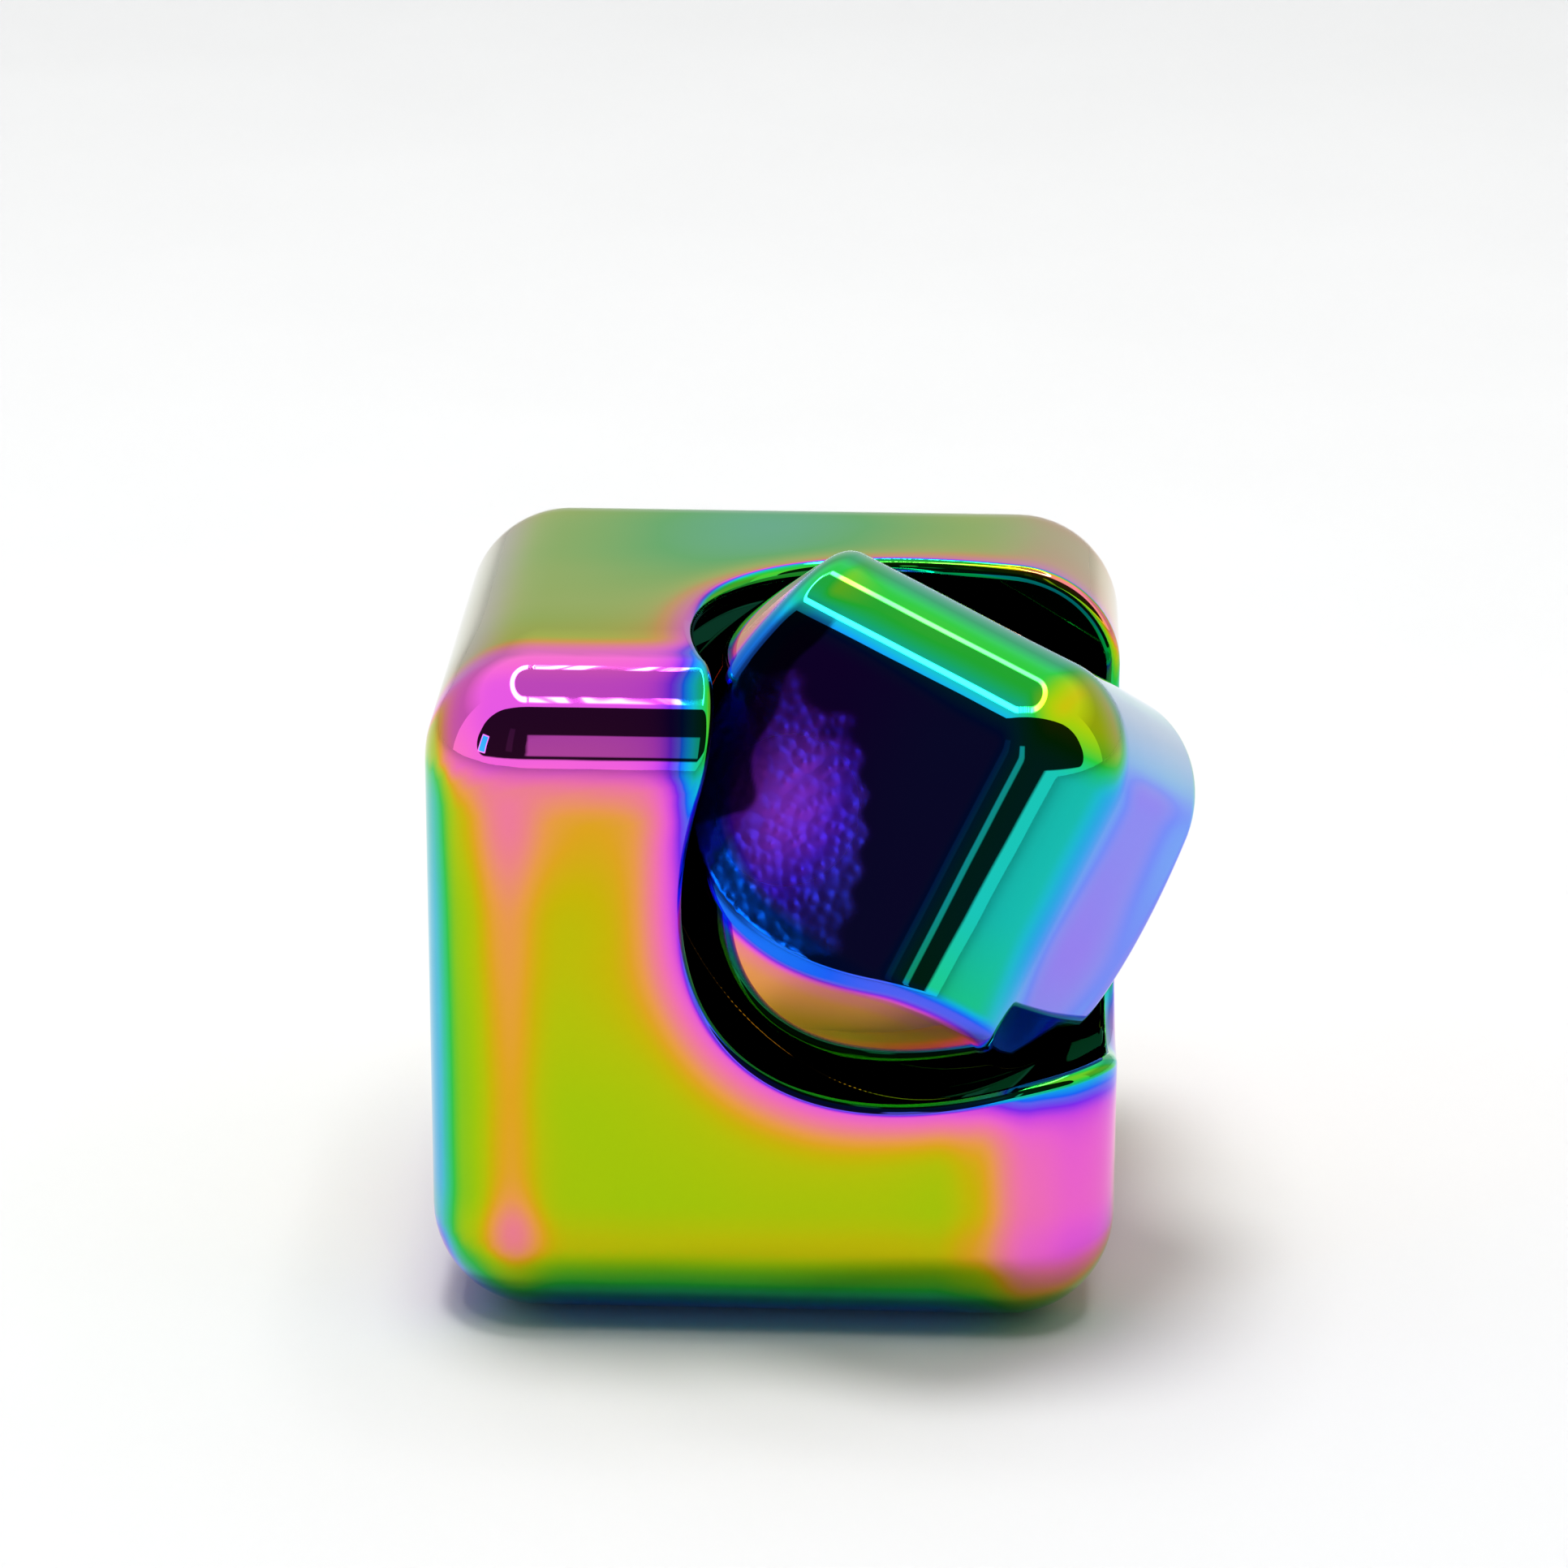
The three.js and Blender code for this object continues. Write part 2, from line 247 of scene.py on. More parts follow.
def halve(test, low, high):
    """Where test changes from true at low to false at high, for each entry, by halving."""
    for _ in range(HALVINGS):
        middle = (low + high) / 2
        inside = test(middle)
        low = np.where(inside, middle, low)
        high = np.where(inside, high, middle)
    return (low + high) / 2


def about_axis(radius, angle, depth):
    """Points at a radius, angle and depth about the spin axis."""
    outward = np.cos(angle)[..., None] * ACROSS_UP + np.sin(angle)[..., None] * ACROSS_SIDE
    return CORNER + np.asarray(radius)[..., None] * outward - np.asarray(depth)[..., None] * AXIS


def rolled_edge(wall_radius, roll, side, angles):
    """The rounding rolled along the edge between the rounded cube and a round wall about the spin axis.

    side is 1 where the metal lies inside the wall and -1 where it lies outside. Returns the rolling ball's centres,
    its directions on to the wall and on to the cube's surface, and the depths of its centres.
    """
    radius = np.full_like(angles, wall_radius - side * roll)

    def outside(depth):
        return cube_distance(about_axis(radius, angles, depth))[0] > -roll

    # The first depth is clear of the corner and the last is just past the cube's middle.
    depth = halve(outside, np.full_like(angles, -SIDE / 3), np.full_like(angles, 0.86 * SIDE))
    centres = about_axis(radius, angles, depth)
    wall = side * (np.cos(angles)[:, None] * ACROSS_UP + np.sin(angles)[:, None] * ACROSS_SIDE)
    return centres, wall, cube_distance(centres)[1], depth


def buffed(points, normals):
    """Normals of the cube's outside, leant forward where buffing drew the front top edge back over the top."""
    front, up = -normals[..., 1], normals[..., 2]
    reach = np.hypot(front, up)
    lift = np.arctan2(up, np.maximum(front, 1e-9))
    back = (points[..., 1] - BODY_LOW.y - EDGE) / MM
    lean = ease(lift, 0, 0.3) * (0.08 + 0.06 * ease(lift, 0.9, 1.5)) * ease(back, 7, 0) * ease(reach, 0.0, 0.3)
    lifted = lift - lean
    leant = normals.copy()
    leant[..., 1] = np.where(up > 1e-6, -reach * np.cos(lifted), normals[..., 1])
    leant[..., 2] = np.where(up > 1e-6, reach * np.sin(lifted), normals[..., 2])
    return np.where((normals[..., 1:2] > 1e-6), normals, leant)


def on_cube(directions):
    """Where rays from the cube's middle leave its rounded surface, with the normals there."""

    def inside(length):
        return cube_distance(CENTRE + directions * length[..., None])[0] < 0

    shape = directions.shape[:-1]
    length = halve(inside, np.full(shape, 0.3 * SIDE), np.full(shape, SIDE))
    points = CENTRE + directions * length[..., None]
    return points, cube_distance(points)[1]


def rounded_profile(corners, steps=5):
    """A (radius, depth) outline with some corners rounded, and its normals.

    corners holds (radius, depth, rounding). The metal lies to the right of the outline as it is followed, and the
    normal points to the left.
    """
    points, normals = [], []
    flat = [np.array(c[:2]) for c in corners]
    for i, (_, _, rounding) in enumerate(corners):
        here = flat[i]
        before = unit(here - flat[i - 1]) if i else unit(flat[i + 1] - here)
        after = unit(flat[i + 1] - here) if i + 1 < len(corners) else before
        n_before, n_after = (np.array((-t[1], t[0])) for t in (before, after))
        turn = math.acos(float(np.clip(before @ after, -1, 1)))
        if turn < 1e-6 or rounding <= 0:
            points.append(here)
            normals.append(unit(n_before + n_after))
            continue
        reach = rounding * math.tan(turn / 2)
        for share in np.linspace(0, 1, steps):
            normal = unit(math.sin((1 - share) * turn) * n_before + math.sin(share * turn) * n_after)
            bend = 1 if n_before @ after > 0 else -1
            centre = here - before * reach + bend * n_before * rounding
            points.append(centre - bend * normal * rounding)
            normals.append(normal)
    return np.array(points), np.array(normals)


def swept_rings(profile, normals, angles):
    """Rings of a (radius, depth) profile about the spin axis, with normals."""
    outward = np.cos(angles)[:, None] * ACROSS_UP + np.sin(angles)[:, None] * ACROSS_SIDE
    points = CORNER + profile[:, 0, None, None] * outward - profile[:, 1, None, None] * AXIS
    directions = normals[:, 0, None, None] * outward - normals[:, 1, None, None] * AXIS
    return points, np.broadcast_to(directions, points.shape)


def shell_rings(angles, rolled, roll, pole, steps, outline):
    """Rings over the rounded cube from a pole to a rolled edge, and on down the round wall and past its end.

    rolled is what rolled_edge gave, pole the direction of the first pole, and steps the numbers of rings over the
    faces, the edge and the wall. outline carries on from the wall's end as (radius, depth, rounding).
    Returns the rings, their normals, and the point and normal of each pole.
    """
    centres, wall, face, depth = rolled
    face_steps, edge_steps, wall_steps = steps
    wall_radius, wall_end, fillet = outline[0]
    edge_normals = turn_between(wall, face, np.linspace(0, 1, edge_steps))
    edge = centres + roll * edge_normals
    start = unit(edge[-1] - CENTRE)
    directions = turn_between(start, np.broadcast_to(pole, start.shape), np.linspace(0, 1, face_steps)[1:-1])
    faces, face_normals = on_cube(directions)
    shares = np.linspace(0, 1, wall_steps)[1:-1, None]
    levels = depth * (1 - shares) + (wall_end - fillet) * shares
    down = about_axis(np.full_like(levels, wall_radius), np.broadcast_to(angles, levels.shape), levels)
    last_depth = outline[-1][1]
    corners = [(wall_radius, wall_end - 2 * fillet, 0), *outline, (HUB_RADIUS, last_depth, 0)]
    profile, profile_normals = rounded_profile(corners)
    inner, inner_normals = swept_rings(profile[1:], profile_normals[1:], angles)
    rings = np.concatenate([faces[::-1], edge[::-1], down, inner])
    down_normals = np.broadcast_to(wall, down.shape)
    normals = np.concatenate([face_normals[::-1], edge_normals[::-1], down_normals, inner_normals])
    first, first_normal = on_cube(pole[None])
    return rings, normals, first[0], first_normal[0], CORNER - last_depth * AXIS, -pole


def inside_out(points, triangles):
    """Whether the triangles of a closed surface face inwards."""
    a, b, c = (points[triangles[:, k]] - points.mean(0) for k in range(3))
    return (a * np.cross(b, c)).sum() < 0


def smooth_mesh(name, points, normals, faces, layers=None):
    """A mesh with the given normals and a value for each vertex in each layer."""
    mesh = bpy.data.meshes.new(name)
    mesh.from_pydata(points.tolist(), [], faces)
    for key, values in (layers or {}).items():
        layer = mesh.attributes.new(key, "FLOAT", "POINT")
        layer.data.foreach_set("value", values.astype(np.float32))
    mesh.shade_smooth()
    mesh.normals_split_custom_set_from_vertices(unit(normals).tolist())
    mesh.update()
    return mesh


def shell_mesh(name, rings, ring_normals, start, start_normal, end, end_normal, attributes=None, finish=None):
    """A closed mesh from rings of points between two poles, with its exact normals, or those that finish gives."""
    count, around = rings.shape[:2]
    points = np.vstack([[start], rings.reshape(-1, 3), [end]])
    normals = np.vstack([[start_normal], ring_normals.reshape(-1, 3), [end_normal]])
    last = len(points) - 1
    index = 1 + np.arange(count * around).reshape(count, around)
    beside = np.roll(index, -1, axis=1)
    quads = np.stack([index[:-1], index[1:], beside[1:], beside[:-1]], -1).reshape(-1, 4)
    first_fan = np.stack([np.zeros(around, int), index[0], beside[0]], -1)
    last_fan = np.stack([np.full(around, last), beside[-1], index[-1]], -1)
    faces = [*first_fan.tolist(), *quads.tolist(), *last_fan.tolist()]
    if inside_out(points, np.vstack([first_fan, quads[:, :3], quads[:, [0, 2, 3]], last_fan])):
        faces = [f[::-1] for f in faces]
    layers = {key: values(points, normals) for key, values in (attributes or {}).items()}
    if finish:
        normals = finish(points, normals)
    return smooth_mesh(name, points, normals, faces, layers)


# ---- Turned parts ----


def outline_of(node):
    """The (radius, depth) outline of a turned CAD solid, metal on its right, and whether it closes on itself."""
    mesh = frame["nodes"][node].data
    points = node_points(node)
    keys, spot = np.unique(np.round(points / MICRON).astype(int), axis=0, return_inverse=True)
    points = keys * MICRON
    spot = spot.reshape(-1)
    radii, depths = axis_coordinates(points)
    across = points - CORNER
    angles = np.arctan2(across @ ACROSS_SIDE, across @ ACROSS_UP)
    # One half plane through the axis holds every corner of the outline.
    turn = angles - angles[radii.argmax()]
    in_plane = (radii < 10 * MICRON) | (np.abs(np.sin(turn / 2)) * radii < 4 * MICRON)
    joined = {i: set() for i in np.flatnonzero(in_plane)}
    for edge in mesh.edges:
        a, b = (int(spot[v]) for v in edge.vertices)
        if a != b and in_plane[a] and in_plane[b] and max(radii[a], radii[b]) > 10 * MICRON:
            joined[a].add(b)
            joined[b].add(a)
    ends = sorted((i for i, others in joined.items() if len(others) == 1), key=lambda i: depths[i])
    chain = [ends[0] if ends else next(i for i, others in joined.items() if len(others) == 2)]
    while True:
        onward = [i for i in joined[chain[-1]] if i not in chain]
        if not onward:
            break
        chain.append(onward[0])
    outline = [(float(radii[i]), float(depths[i])) for i in chain]
    r, d = np.array(outline).T
    if (r * np.roll(d, -1) - np.roll(r, -1) * d).sum() > 0:
        outline.reverse()
    return outline, not ends


def turned_mesh(node, rounding):
    """A turned CAD solid made smooth about the axis, with its corners rounded."""
    outline, closed = outline_of(node)
    size = np.array(outline)
    if closed:
        size = np.vstack([size[-1:], size, size[:1]])
    reach = np.linalg.norm(np.diff(size, axis=0), axis=1)
    corners = [(*size[0], 0)]
    for i in range(1, len(size) - 1):
        before, after = size[i] - size[i - 1], size[i + 1] - size[i]
        bend = math.acos(float(np.clip(unit(before) @ unit(after), -1, 1)))
        radius = 0
        if bend > RACEWAY_BEND:
            radius = min(rounding, 0.4 * min(reach[i - 1], reach[i]) / math.tan(bend / 2))
        corners.append((*size[i], radius))
    corners.append((*size[-1], 0))
    profile, normals = rounded_profile(corners, 4)
    angles = np.arange(TURNED_STEPS_ROUND) * 2 * math.pi / TURNED_STEPS_ROUND
    rings, ring_normals = swept_rings(profile[1:-1], normals[1:-1], angles)
    if not closed:
        first, last = (CORNER - depth * AXIS for depth in (profile[0, 1], profile[-1, 1]))
        facing = AXIS if profile[0, 1] < profile[-1, 1] else -AXIS
        return shell_mesh(node, rings, ring_normals, first, facing, last, -facing)
    index = np.arange(rings.shape[0] * rings.shape[1]).reshape(rings.shape[:2])
    onward, beside = np.roll(index, -1, axis=0), np.roll(index, -1, axis=1)
    quads = np.stack([index, onward, np.roll(onward, -1, axis=1), beside], -1).reshape(-1, 4)
    points = rings.reshape(-1, 3)
    if inside_out(points, quads):
        quads = quads[:, ::-1]
    return smooth_mesh(node, points, ring_normals.reshape(-1, 3), quads.tolist())


# ---- Geometry Nodes ----


def bearing_place():
    """The bearing's own frame: its middle, z out along the axis and x towards the first ball."""
    centres = [node_points(f"ball_{i:02d}").mean(0) for i in range(1, BALL_COUNT + 1)]
    middle = np.mean(centres, axis=0)
    x = unit(centres[0] - middle)
    y = np.cross(AXIS, x)
    place = Matrix([[x[i], y[i], AXIS[i], middle[i]] for i in range(3)] + [[0, 0, 0, 1]])
    handed = 1 if (centres[1] - middle) @ y > 0 else -1
    return place, float(np.linalg.norm(centres[0] - middle)), handed


def grown(name, tree, place, values):
    """The mesh that a Geometry Nodes tree makes from the given inputs, moved to its place."""
    holder = bpy.data.objects.new(name, bpy.data.meshes.new(name))
    bpy.context.scene.collection.objects.link(holder)
    modifier = holder.modifiers.new(name, "NODES")
    modifier.node_group = tree
    for item in tree.interface.items_tree:
        if item.in_out == "INPUT" and item.name in values:
            modifier[item.identifier] = values[item.name]
    holder.data.update()
    evaluated = holder.evaluated_get(bpy.context.evaluated_depsgraph_get())
    mesh = bpy.data.meshes.new_from_object(evaluated)
    holder.modifiers.clear()
    bpy.data.objects.remove(holder)
    mesh.name = name
    material = mesh.materials[-1]
    mesh.materials.clear()
    mesh.materials.append(material)
    mesh.transform(place)
    mesh.shade_smooth()
    mesh.set_sharp_from_angle(angle=SHARP_ANGLE)
    mesh.update()
    return mesh


def new_tree(name, inputs):
    """An empty geometry tree with named inputs, given as (name, socket type, default)."""
    tree = bpy.data.node_groups.new(name, "GeometryNodeTree")
    for label, kind, default in inputs:
        socket = tree.interface.new_socket(label, in_out="INPUT", socket_type=kind)
        socket.default_value = default
    tree.interface.new_socket("Geometry", in_out="OUTPUT", socket_type="NodeSocketGeometry")
    return tree, add_node(tree, "NodeGroupInput").outputs


def ball_tree(material):
    """One ball of an even ring of balls, picked by its number."""
    tree, sizes = new_tree(
        "bearing_ball",
        [
            ("Ball Radius", "NodeSocketFloat", 0.8 * MM),
            ("Pitch Radius", "NodeSocketFloat", 4.8 * MM),
            ("Count", "NodeSocketInt", 10),
            ("Number", "NodeSocketInt", 0),
        ],
    )
    ring = add_node(tree, "GeometryNodeMeshCircle", {"Vertices": sizes["Count"], "Radius": sizes["Pitch Radius"]})
    inputs = {2: add_node(tree, "GeometryNodeInputIndex").outputs[0], 3: sizes["Number"]}
    chosen = add_node(tree, "FunctionNodeCompare", inputs, data_type="INT", operation="EQUAL")
    inputs = {"Segments": 64, "Rings": 32, "Radius": sizes["Ball Radius"]}
    ball = add_node(tree, "GeometryNodeMeshUVSphere", inputs)
    balls = add_node(
        tree,
        "GeometryNodeInstanceOnPoints",
        {"Points": ring.outputs[0], "Selection": chosen.outputs[0], "Instance": ball.outputs[0]},
    )
    finish_tree(tree, balls.outputs[0], material)
    return tree


def cage_tree(material):
    """A crown cage: a band with a pocket for each ball, open on one side."""
    tree, sizes = new_tree(
        "crown_cage",
        [
            ("Inner Radius", "NodeSocketFloat", 4.4 * MM),
            ("Outer Radius", "NodeSocketFloat", 5.1 * MM),
            ("Low Side", "NodeSocketFloat", -1.4 * MM),
            ("Open Side", "NodeSocketFloat", 0.6 * MM),
            ("Pocket Radius", "NodeSocketFloat", 0.87 * MM),
            ("Count", "NodeSocketInt", 10),
        ],
    )

    def cylinder(radius, depth, sides, place):
        """A cylinder about z, moved or turned by place."""
        shape = add_node(tree, "GeometryNodeMeshCylinder", {"Vertices": sides, "Radius": radius, "Depth": depth})
        return add_node(tree, "GeometryNodeTransform", {"Geometry": shape, **place})

    inner, outer, low, high = (sizes[name] for name in ("Inner Radius", "Outer Radius", "Low Side", "Open Side"))
    width = add_node(tree, "ShaderNodeMath", [high, low], operation="SUBTRACT")
    both_sides = add_node(tree, "ShaderNodeMath", [high, low], operation="ADD")
    middle = add_node(tree, "ShaderNodeMath", [both_sides, 0.5], operation="MULTIPLY")
    lift = {"Translation": add_node(tree, "ShaderNodeCombineXYZ", {"Z": middle})}
    band = cylinder(outer, width, 240, lift)
    # The core is cut out right through the band.
    twice_width = add_node(tree, "ShaderNodeMath", [width, 2.0], operation="MULTIPLY")
    core = cylinder(inner, twice_width, 240, lift)
    # A pocket is a hole straight out through the band, where a ball sits.
    wall = add_node(tree, "ShaderNodeMath", [outer, inner], operation="SUBTRACT")
    deep = add_node(tree, "ShaderNodeMath", [wall, 2.0], operation="MULTIPLY")
    hole = cylinder(sizes["Pocket Radius"], deep, 48, {"Rotation": (0, math.pi / 2, 0)})
    both_radii = add_node(tree, "ShaderNodeMath", [outer, inner], operation="ADD")
    ring_radius = add_node(tree, "ShaderNodeMath", [both_radii, 0.5], operation="MULTIPLY")
    ring = add_node(tree, "GeometryNodeMeshCircle", {"Vertices": sizes["Count"], "Radius": ring_radius})
    outward = add_node(tree, "GeometryNodeInputPosition")
    aim = add_node(tree, "FunctionNodeAlignRotationToVector", {"Vector": outward.outputs[0]}, axis="X", pivot_axis="Z")
    holes = add_node(
        tree,
        "GeometryNodeInstanceOnPoints",
        {"Points": ring.outputs[0], "Instance": hole, "Rotation": aim.outputs[0]},
    )
    cut = add_node(tree, "GeometryNodeRealizeInstances", {0: holes.outputs[0]})
    crown = add_node(tree, "GeometryNodeMeshBoolean", {"Mesh 1": band}, operation="DIFFERENCE", solver="EXACT")
    tree.links.new(core.outputs[0], crown.inputs["Mesh 2"])
    tree.links.new(cut.outputs[0], crown.inputs["Mesh 2"])
    finish_tree(tree, crown.outputs["Mesh"], material)
    return tree


def finish_tree(tree, geometry, material):
    real = add_node(tree, "GeometryNodeRealizeInstances", {0: geometry})
    finished = add_node(tree, "GeometryNodeSetMaterial", {"Geometry": real.outputs[0], "Material": material})
    add_node(tree, "NodeGroupOutput", {0: finished.outputs[0]})


def add_piece(name, mesh, body, nodes):
    """Links a finished mesh as a piece that rides on a body and stands for CAD nodes."""
    piece = bpy.data.objects.new(name, mesh)
    bpy.context.scene.collection.objects.link(piece)
    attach(piece, body)
    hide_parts(*nodes)
    return piece


# ---- Interference film ----

# The plating's colour comes from the thickness of its clear film, and repeats each time the film grows by one
# order. The order is worked out for each vertex from where it lies and which way it faces, so the bands of colour
# stay put on the metal. Distances are in millimetres from the middle of the cube, and turns are in degrees.


def body_lie(points, normals):
    """Place, distance from the socket's rim and turns round the front top and left edges."""
    x, y, z = (points - CENTRE).T / MM
    radius, depth = axis_coordinates(points)
    # The axis leaves the cube again at its far corner, well clear of the socket's rim.
    radius = np.where(depth > RELIEF_DEPTH + 0.5 * MM, SIDE, radius)
    up, front, left = normals[:, 2], -normals[:, 1], -normals[:, 0]
    lift = np.degrees(np.arctan2(up, np.maximum(front, 1e-6)))
    side = np.degrees(np.arcsin(np.clip(left, -1, 1)))
    return x, y, z, (radius - SOCKET_RADIUS) / MM, lift, side


def body_film(points, normals):
    """Interference order over the cube body."""
    x, y, z, from_rim, lift, side = body_lie(points, normals)
    flat = (SIDE / 2 - EDGE) / MM
    bead = np.maximum(from_rim, 0)
    topness = ease(lift, 60, 90)
    # The front: lime low in the middle, yellow above, ochre towards the rim of the face.
    front = 2.125 + 0.03 * ease(z, -4, 3) + 0.045 * ease(z, 3, 9) + 0.04 * ease(-z, 7.5, 9.3)
    # An orange stripe beside the left edge, with a pink spot at its foot.
    front += 0.09 * hump(x + 10.0, 1.1) * ease(z, 10, 8) + 0.05 * hump(x + 9.6, 1.8) * ease(z, 4, 8) * ease(z, 9.8, 8)
    front += 0.08 * hump(np.hypot(x + 9.9, (z + 8.8) / 1.3), 1.1)
    # Round the left edge it falls to cyan, towards the right edge it climbs to magenta, and under the cube it
    # falls to green and blue.
    front -= 0.05 * ease(side, 18, 42) + 0.28 * ease(side, 38, 64)
    front += 0.05 * ease(x, 6.4, 8.1) + 0.21 * ease(x, 7.9, 10.2) + 0.05 * ease(x, 10, 12)
    front -= 0.11 * ease(-lift, 4, 20) + 0.3 * ease(-lift, 15, 62)
    # Round the front top edge it climbs through pink to magenta.
    front += 0.1 * ease(z, 8, 9.6) + 0.15 * ease(lift, 0, 14) + 0.04 * ease(lift, 15, 45) - 0.06 * ease(lift, 60, 90)
    # The top: pink along its front edge, then ochre, olive and grey green towards the back.
    back = y + flat
    top = 2.43 - 0.28 * ease(back, 0.2, 2.3) - 0.02 * ease(back, 2, 5) - 0.21 * ease(back, 2, 15) * hump(x + 1, 6.5)
    top += 0.07 * ease(x, 8, 11) + 0.04 * ease(side, 5, 40) + 0.05 * ease(back, 17, 21)
    order = front * (1 - topness) + top * topness
    # A bead of thicker film follows the socket's rim.
    order += (0.4 + 0.14 * ease(z, 5.5, 9.5) * (1 - topness)) * hump(bead, 1.15 - 0.2 * topness)
    order += 0.06 * hump(bead, 2.5)
    inside = ease(-from_rim, -0.4, 0.05)
    order = order * (1 - inside) + 2.93 * inside
    # The left, back and underside are lime in the middle and ringed with ochre and pink.
    middle = np.sort(np.abs([x, y, z]), axis=0)[1]
    ring = 2.09 + 0.2 * ease(middle, 6.2, 9.6) + 0.12 * np.sin(0.33 * x + 0.21 * z + 0.4) * np.cos(0.24 * y)
    ring += 0.42 * hump(bead, 1.2)
    hidden = ease(0.2 * normals @ np.array((1, 0, 0)) + normals @ np.array((0, 1, 0)), -0.1, 0.25)
    hidden = np.maximum(hidden, ease(side, 60, 88) * ease(y, -flat - 1, -flat + 3)) * ease(topness, 1, 0)
    return order * (1 - hidden) + ring * hidden


def body_painted_sheen_and_shade(points, normals):
    """Painted sheen that washes the film's colour out, up to 1, and painted shade that darkens it, down to -1."""
    x, y, _, from_rim, lift, side = body_lie(points, normals)
    # Painted sheen washes the top out towards grey behind its front edge, most towards its left and right.
    top = ease(lift, 74, 90) * ease(y, -10.5, -6)
    pale = top * (0.1 + 0.55 * ease(side, 12, 42) + 0.3 * ease(x, 7, 11))
    # Painted shade darkens the inside of the socket.
    painted_shade = ease(-from_rim, -0.1, 0.1)
    return pale * (1 - painted_shade) - painted_shade


def spinner_film(points, normals, wall_top):
    """Interference order over the spinning corner, in its own place flush with the cube.

    wall_top gives the depth at which the corner's round wall begins beside each point.
    """
    x, y, z = (points - CENTRE).T / MM
    radius, depth = axis_coordinates(points)
    right, front, up = normals[:, 0], -normals[:, 1], normals[:, 2]
    lift = 0.4 * ease(up, 0, 0.6) - 0.1 * ease(up, 0.75, 1)
    turn = (0.27 + 0.06 * ease(z, 4, -1)) * ease(right, 0, 0.4) - 0.06 * ease(right, 0.85, 0.97)
    turn -= ease(right, 0.9, 1) * ease(y, -12, -6.5) * (0.19 - 0.04 * ease(z, 1, 9) - 0.07 * ease(y, -5, 0))
    # The front face is violet, the edge over the top green, the edge to the right teal, and the right face blue
    # and lavender.
    fore = ease(front, 0.02, 0.3)
    order = 1.6 + lift * (0.5 + 0.5 * fore) + turn - lift * ease(right, 0, 0.5) * (0.24 + 0.5 * (1 - fore))
    order += 0.06 * ease(x, 2, 8) * ease(front, 0.9, 1) - 0.045 * grain_of_casting(points, normals)
    order -= 0.03 * ease(right, 0.2, 0.5) * ease(front, 0.2, 0.5) * ease(up, 0.2, 0.5)
    order += 0.12 * ease(up, 0.3, 0.6) * ease(x, 2.5, -2)
    # Over the rounding into the round wall it falls through blue and pink to ochre.
    rounding = 1.1 * MM
    share = (radius - (SPINNER_RADIUS - rounding)) / rounding
    below = (depth - wall_top(points)) / MM
    nose = ease(x, 5, 10.5)
    wall = 1.71 - 0.03 * nose + 0.7 * lift * ease(below, 1, -1) - 0.4 * ease(below + 0.45 * nose, -0.1, 0.7)
    wall -= 0.05 * ease(below, 0.6, 1.7) + 0.04 * ease(below, 1.6, 4)
    mixed = ease(share - 0.35 * nose, 0.0, 0.45)
    mixed = np.maximum(mixed, ease(depth, SPINNER_UNDERSIDE - 0.4 * MM, SPINNER_UNDERSIDE))
    return order * (1 - mixed) + wall * mixed


def spinner_painted_sheen_and_shade(points, normals):
    """Painted sheen where the right face rounds over on to the top, and painted shade along the front face's left end.
    """
    x, _, z = (points - CENTRE).T / MM
    radius, _ = axis_coordinates(points)
    right, front = normals[:, 0], -normals[:, 1]
    # Painted sheen: the rounding from the right face on to the top is washed out towards grey.
    pale = 0.55 * ease(z, 9.8, 13) * ease(right, 0.0, 0.6) * ease(front, 0.5, 0.1)
    # Painted shade: a dark band with a wavy edge along the front face's left end, standing for the dark gap that it
    # reflects.
    swing = SPINNER_RADIUS / MM - 1.65 + 1.5 * ease(z, 3.6, 0.6) + 0.12 * np.sin(1.7 * z)
    painted_shade = ease(radius / MM, swing, swing + 0.15) * ease(x, 5, 3) * ease(front, 0.9, 0.98)
    return pale - 0.9 * painted_shade


def grain_of_casting(points, normals):
    """Where the corner's front face was left as cast, from 0 polished to 1 grained."""
    x, _, z = (points - CENTRE).T / MM
    ragged = 0.05 * np.sin(2.3 * x + 1.1 * z) + 0.04 * np.sin(3.9 * z - 1.7 * x)
    patch = 1 - ease(np.hypot((x - 1) / 7, (z - 1) / 7.5) + ragged, 0.86, 0.97)
    worn = 0.35 + 0.65 * hump(np.hypot(x - 3.2, z - 3.4), 3.0)
    return patch * worn * ease(-normals[:, 1], 0.97, 0.999)


def no_grain(points, normals):
    return np.zeros(len(points))


# ---- Materials ----


def add_node(tree, kind, inputs=(), **settings):
    """Adds a node. inputs holds a value, a node or a node's output for each input, by name or in order."""
    node = tree.nodes.new(kind)
    for key, value in settings.items():
        setattr(node, key, value)
    for key, value in inputs.items() if isinstance(inputs, dict) else enumerate(inputs):
        if isinstance(value, bpy.types.Node):
            value = value.outputs[0]
        if isinstance(value, bpy.types.NodeSocket):
            tree.links.new(value, node.inputs[key])
        else:
            node.inputs[key].default_value = value
    return node


def new_material(name):
    """An empty node material, with its tree and its output node."""
    material = bpy.data.materials.new(name)
    material.use_nodes = True
    material.node_tree.nodes.clear()
    return material, material.node_tree, add_node(material.node_tree, "ShaderNodeOutputMaterial")


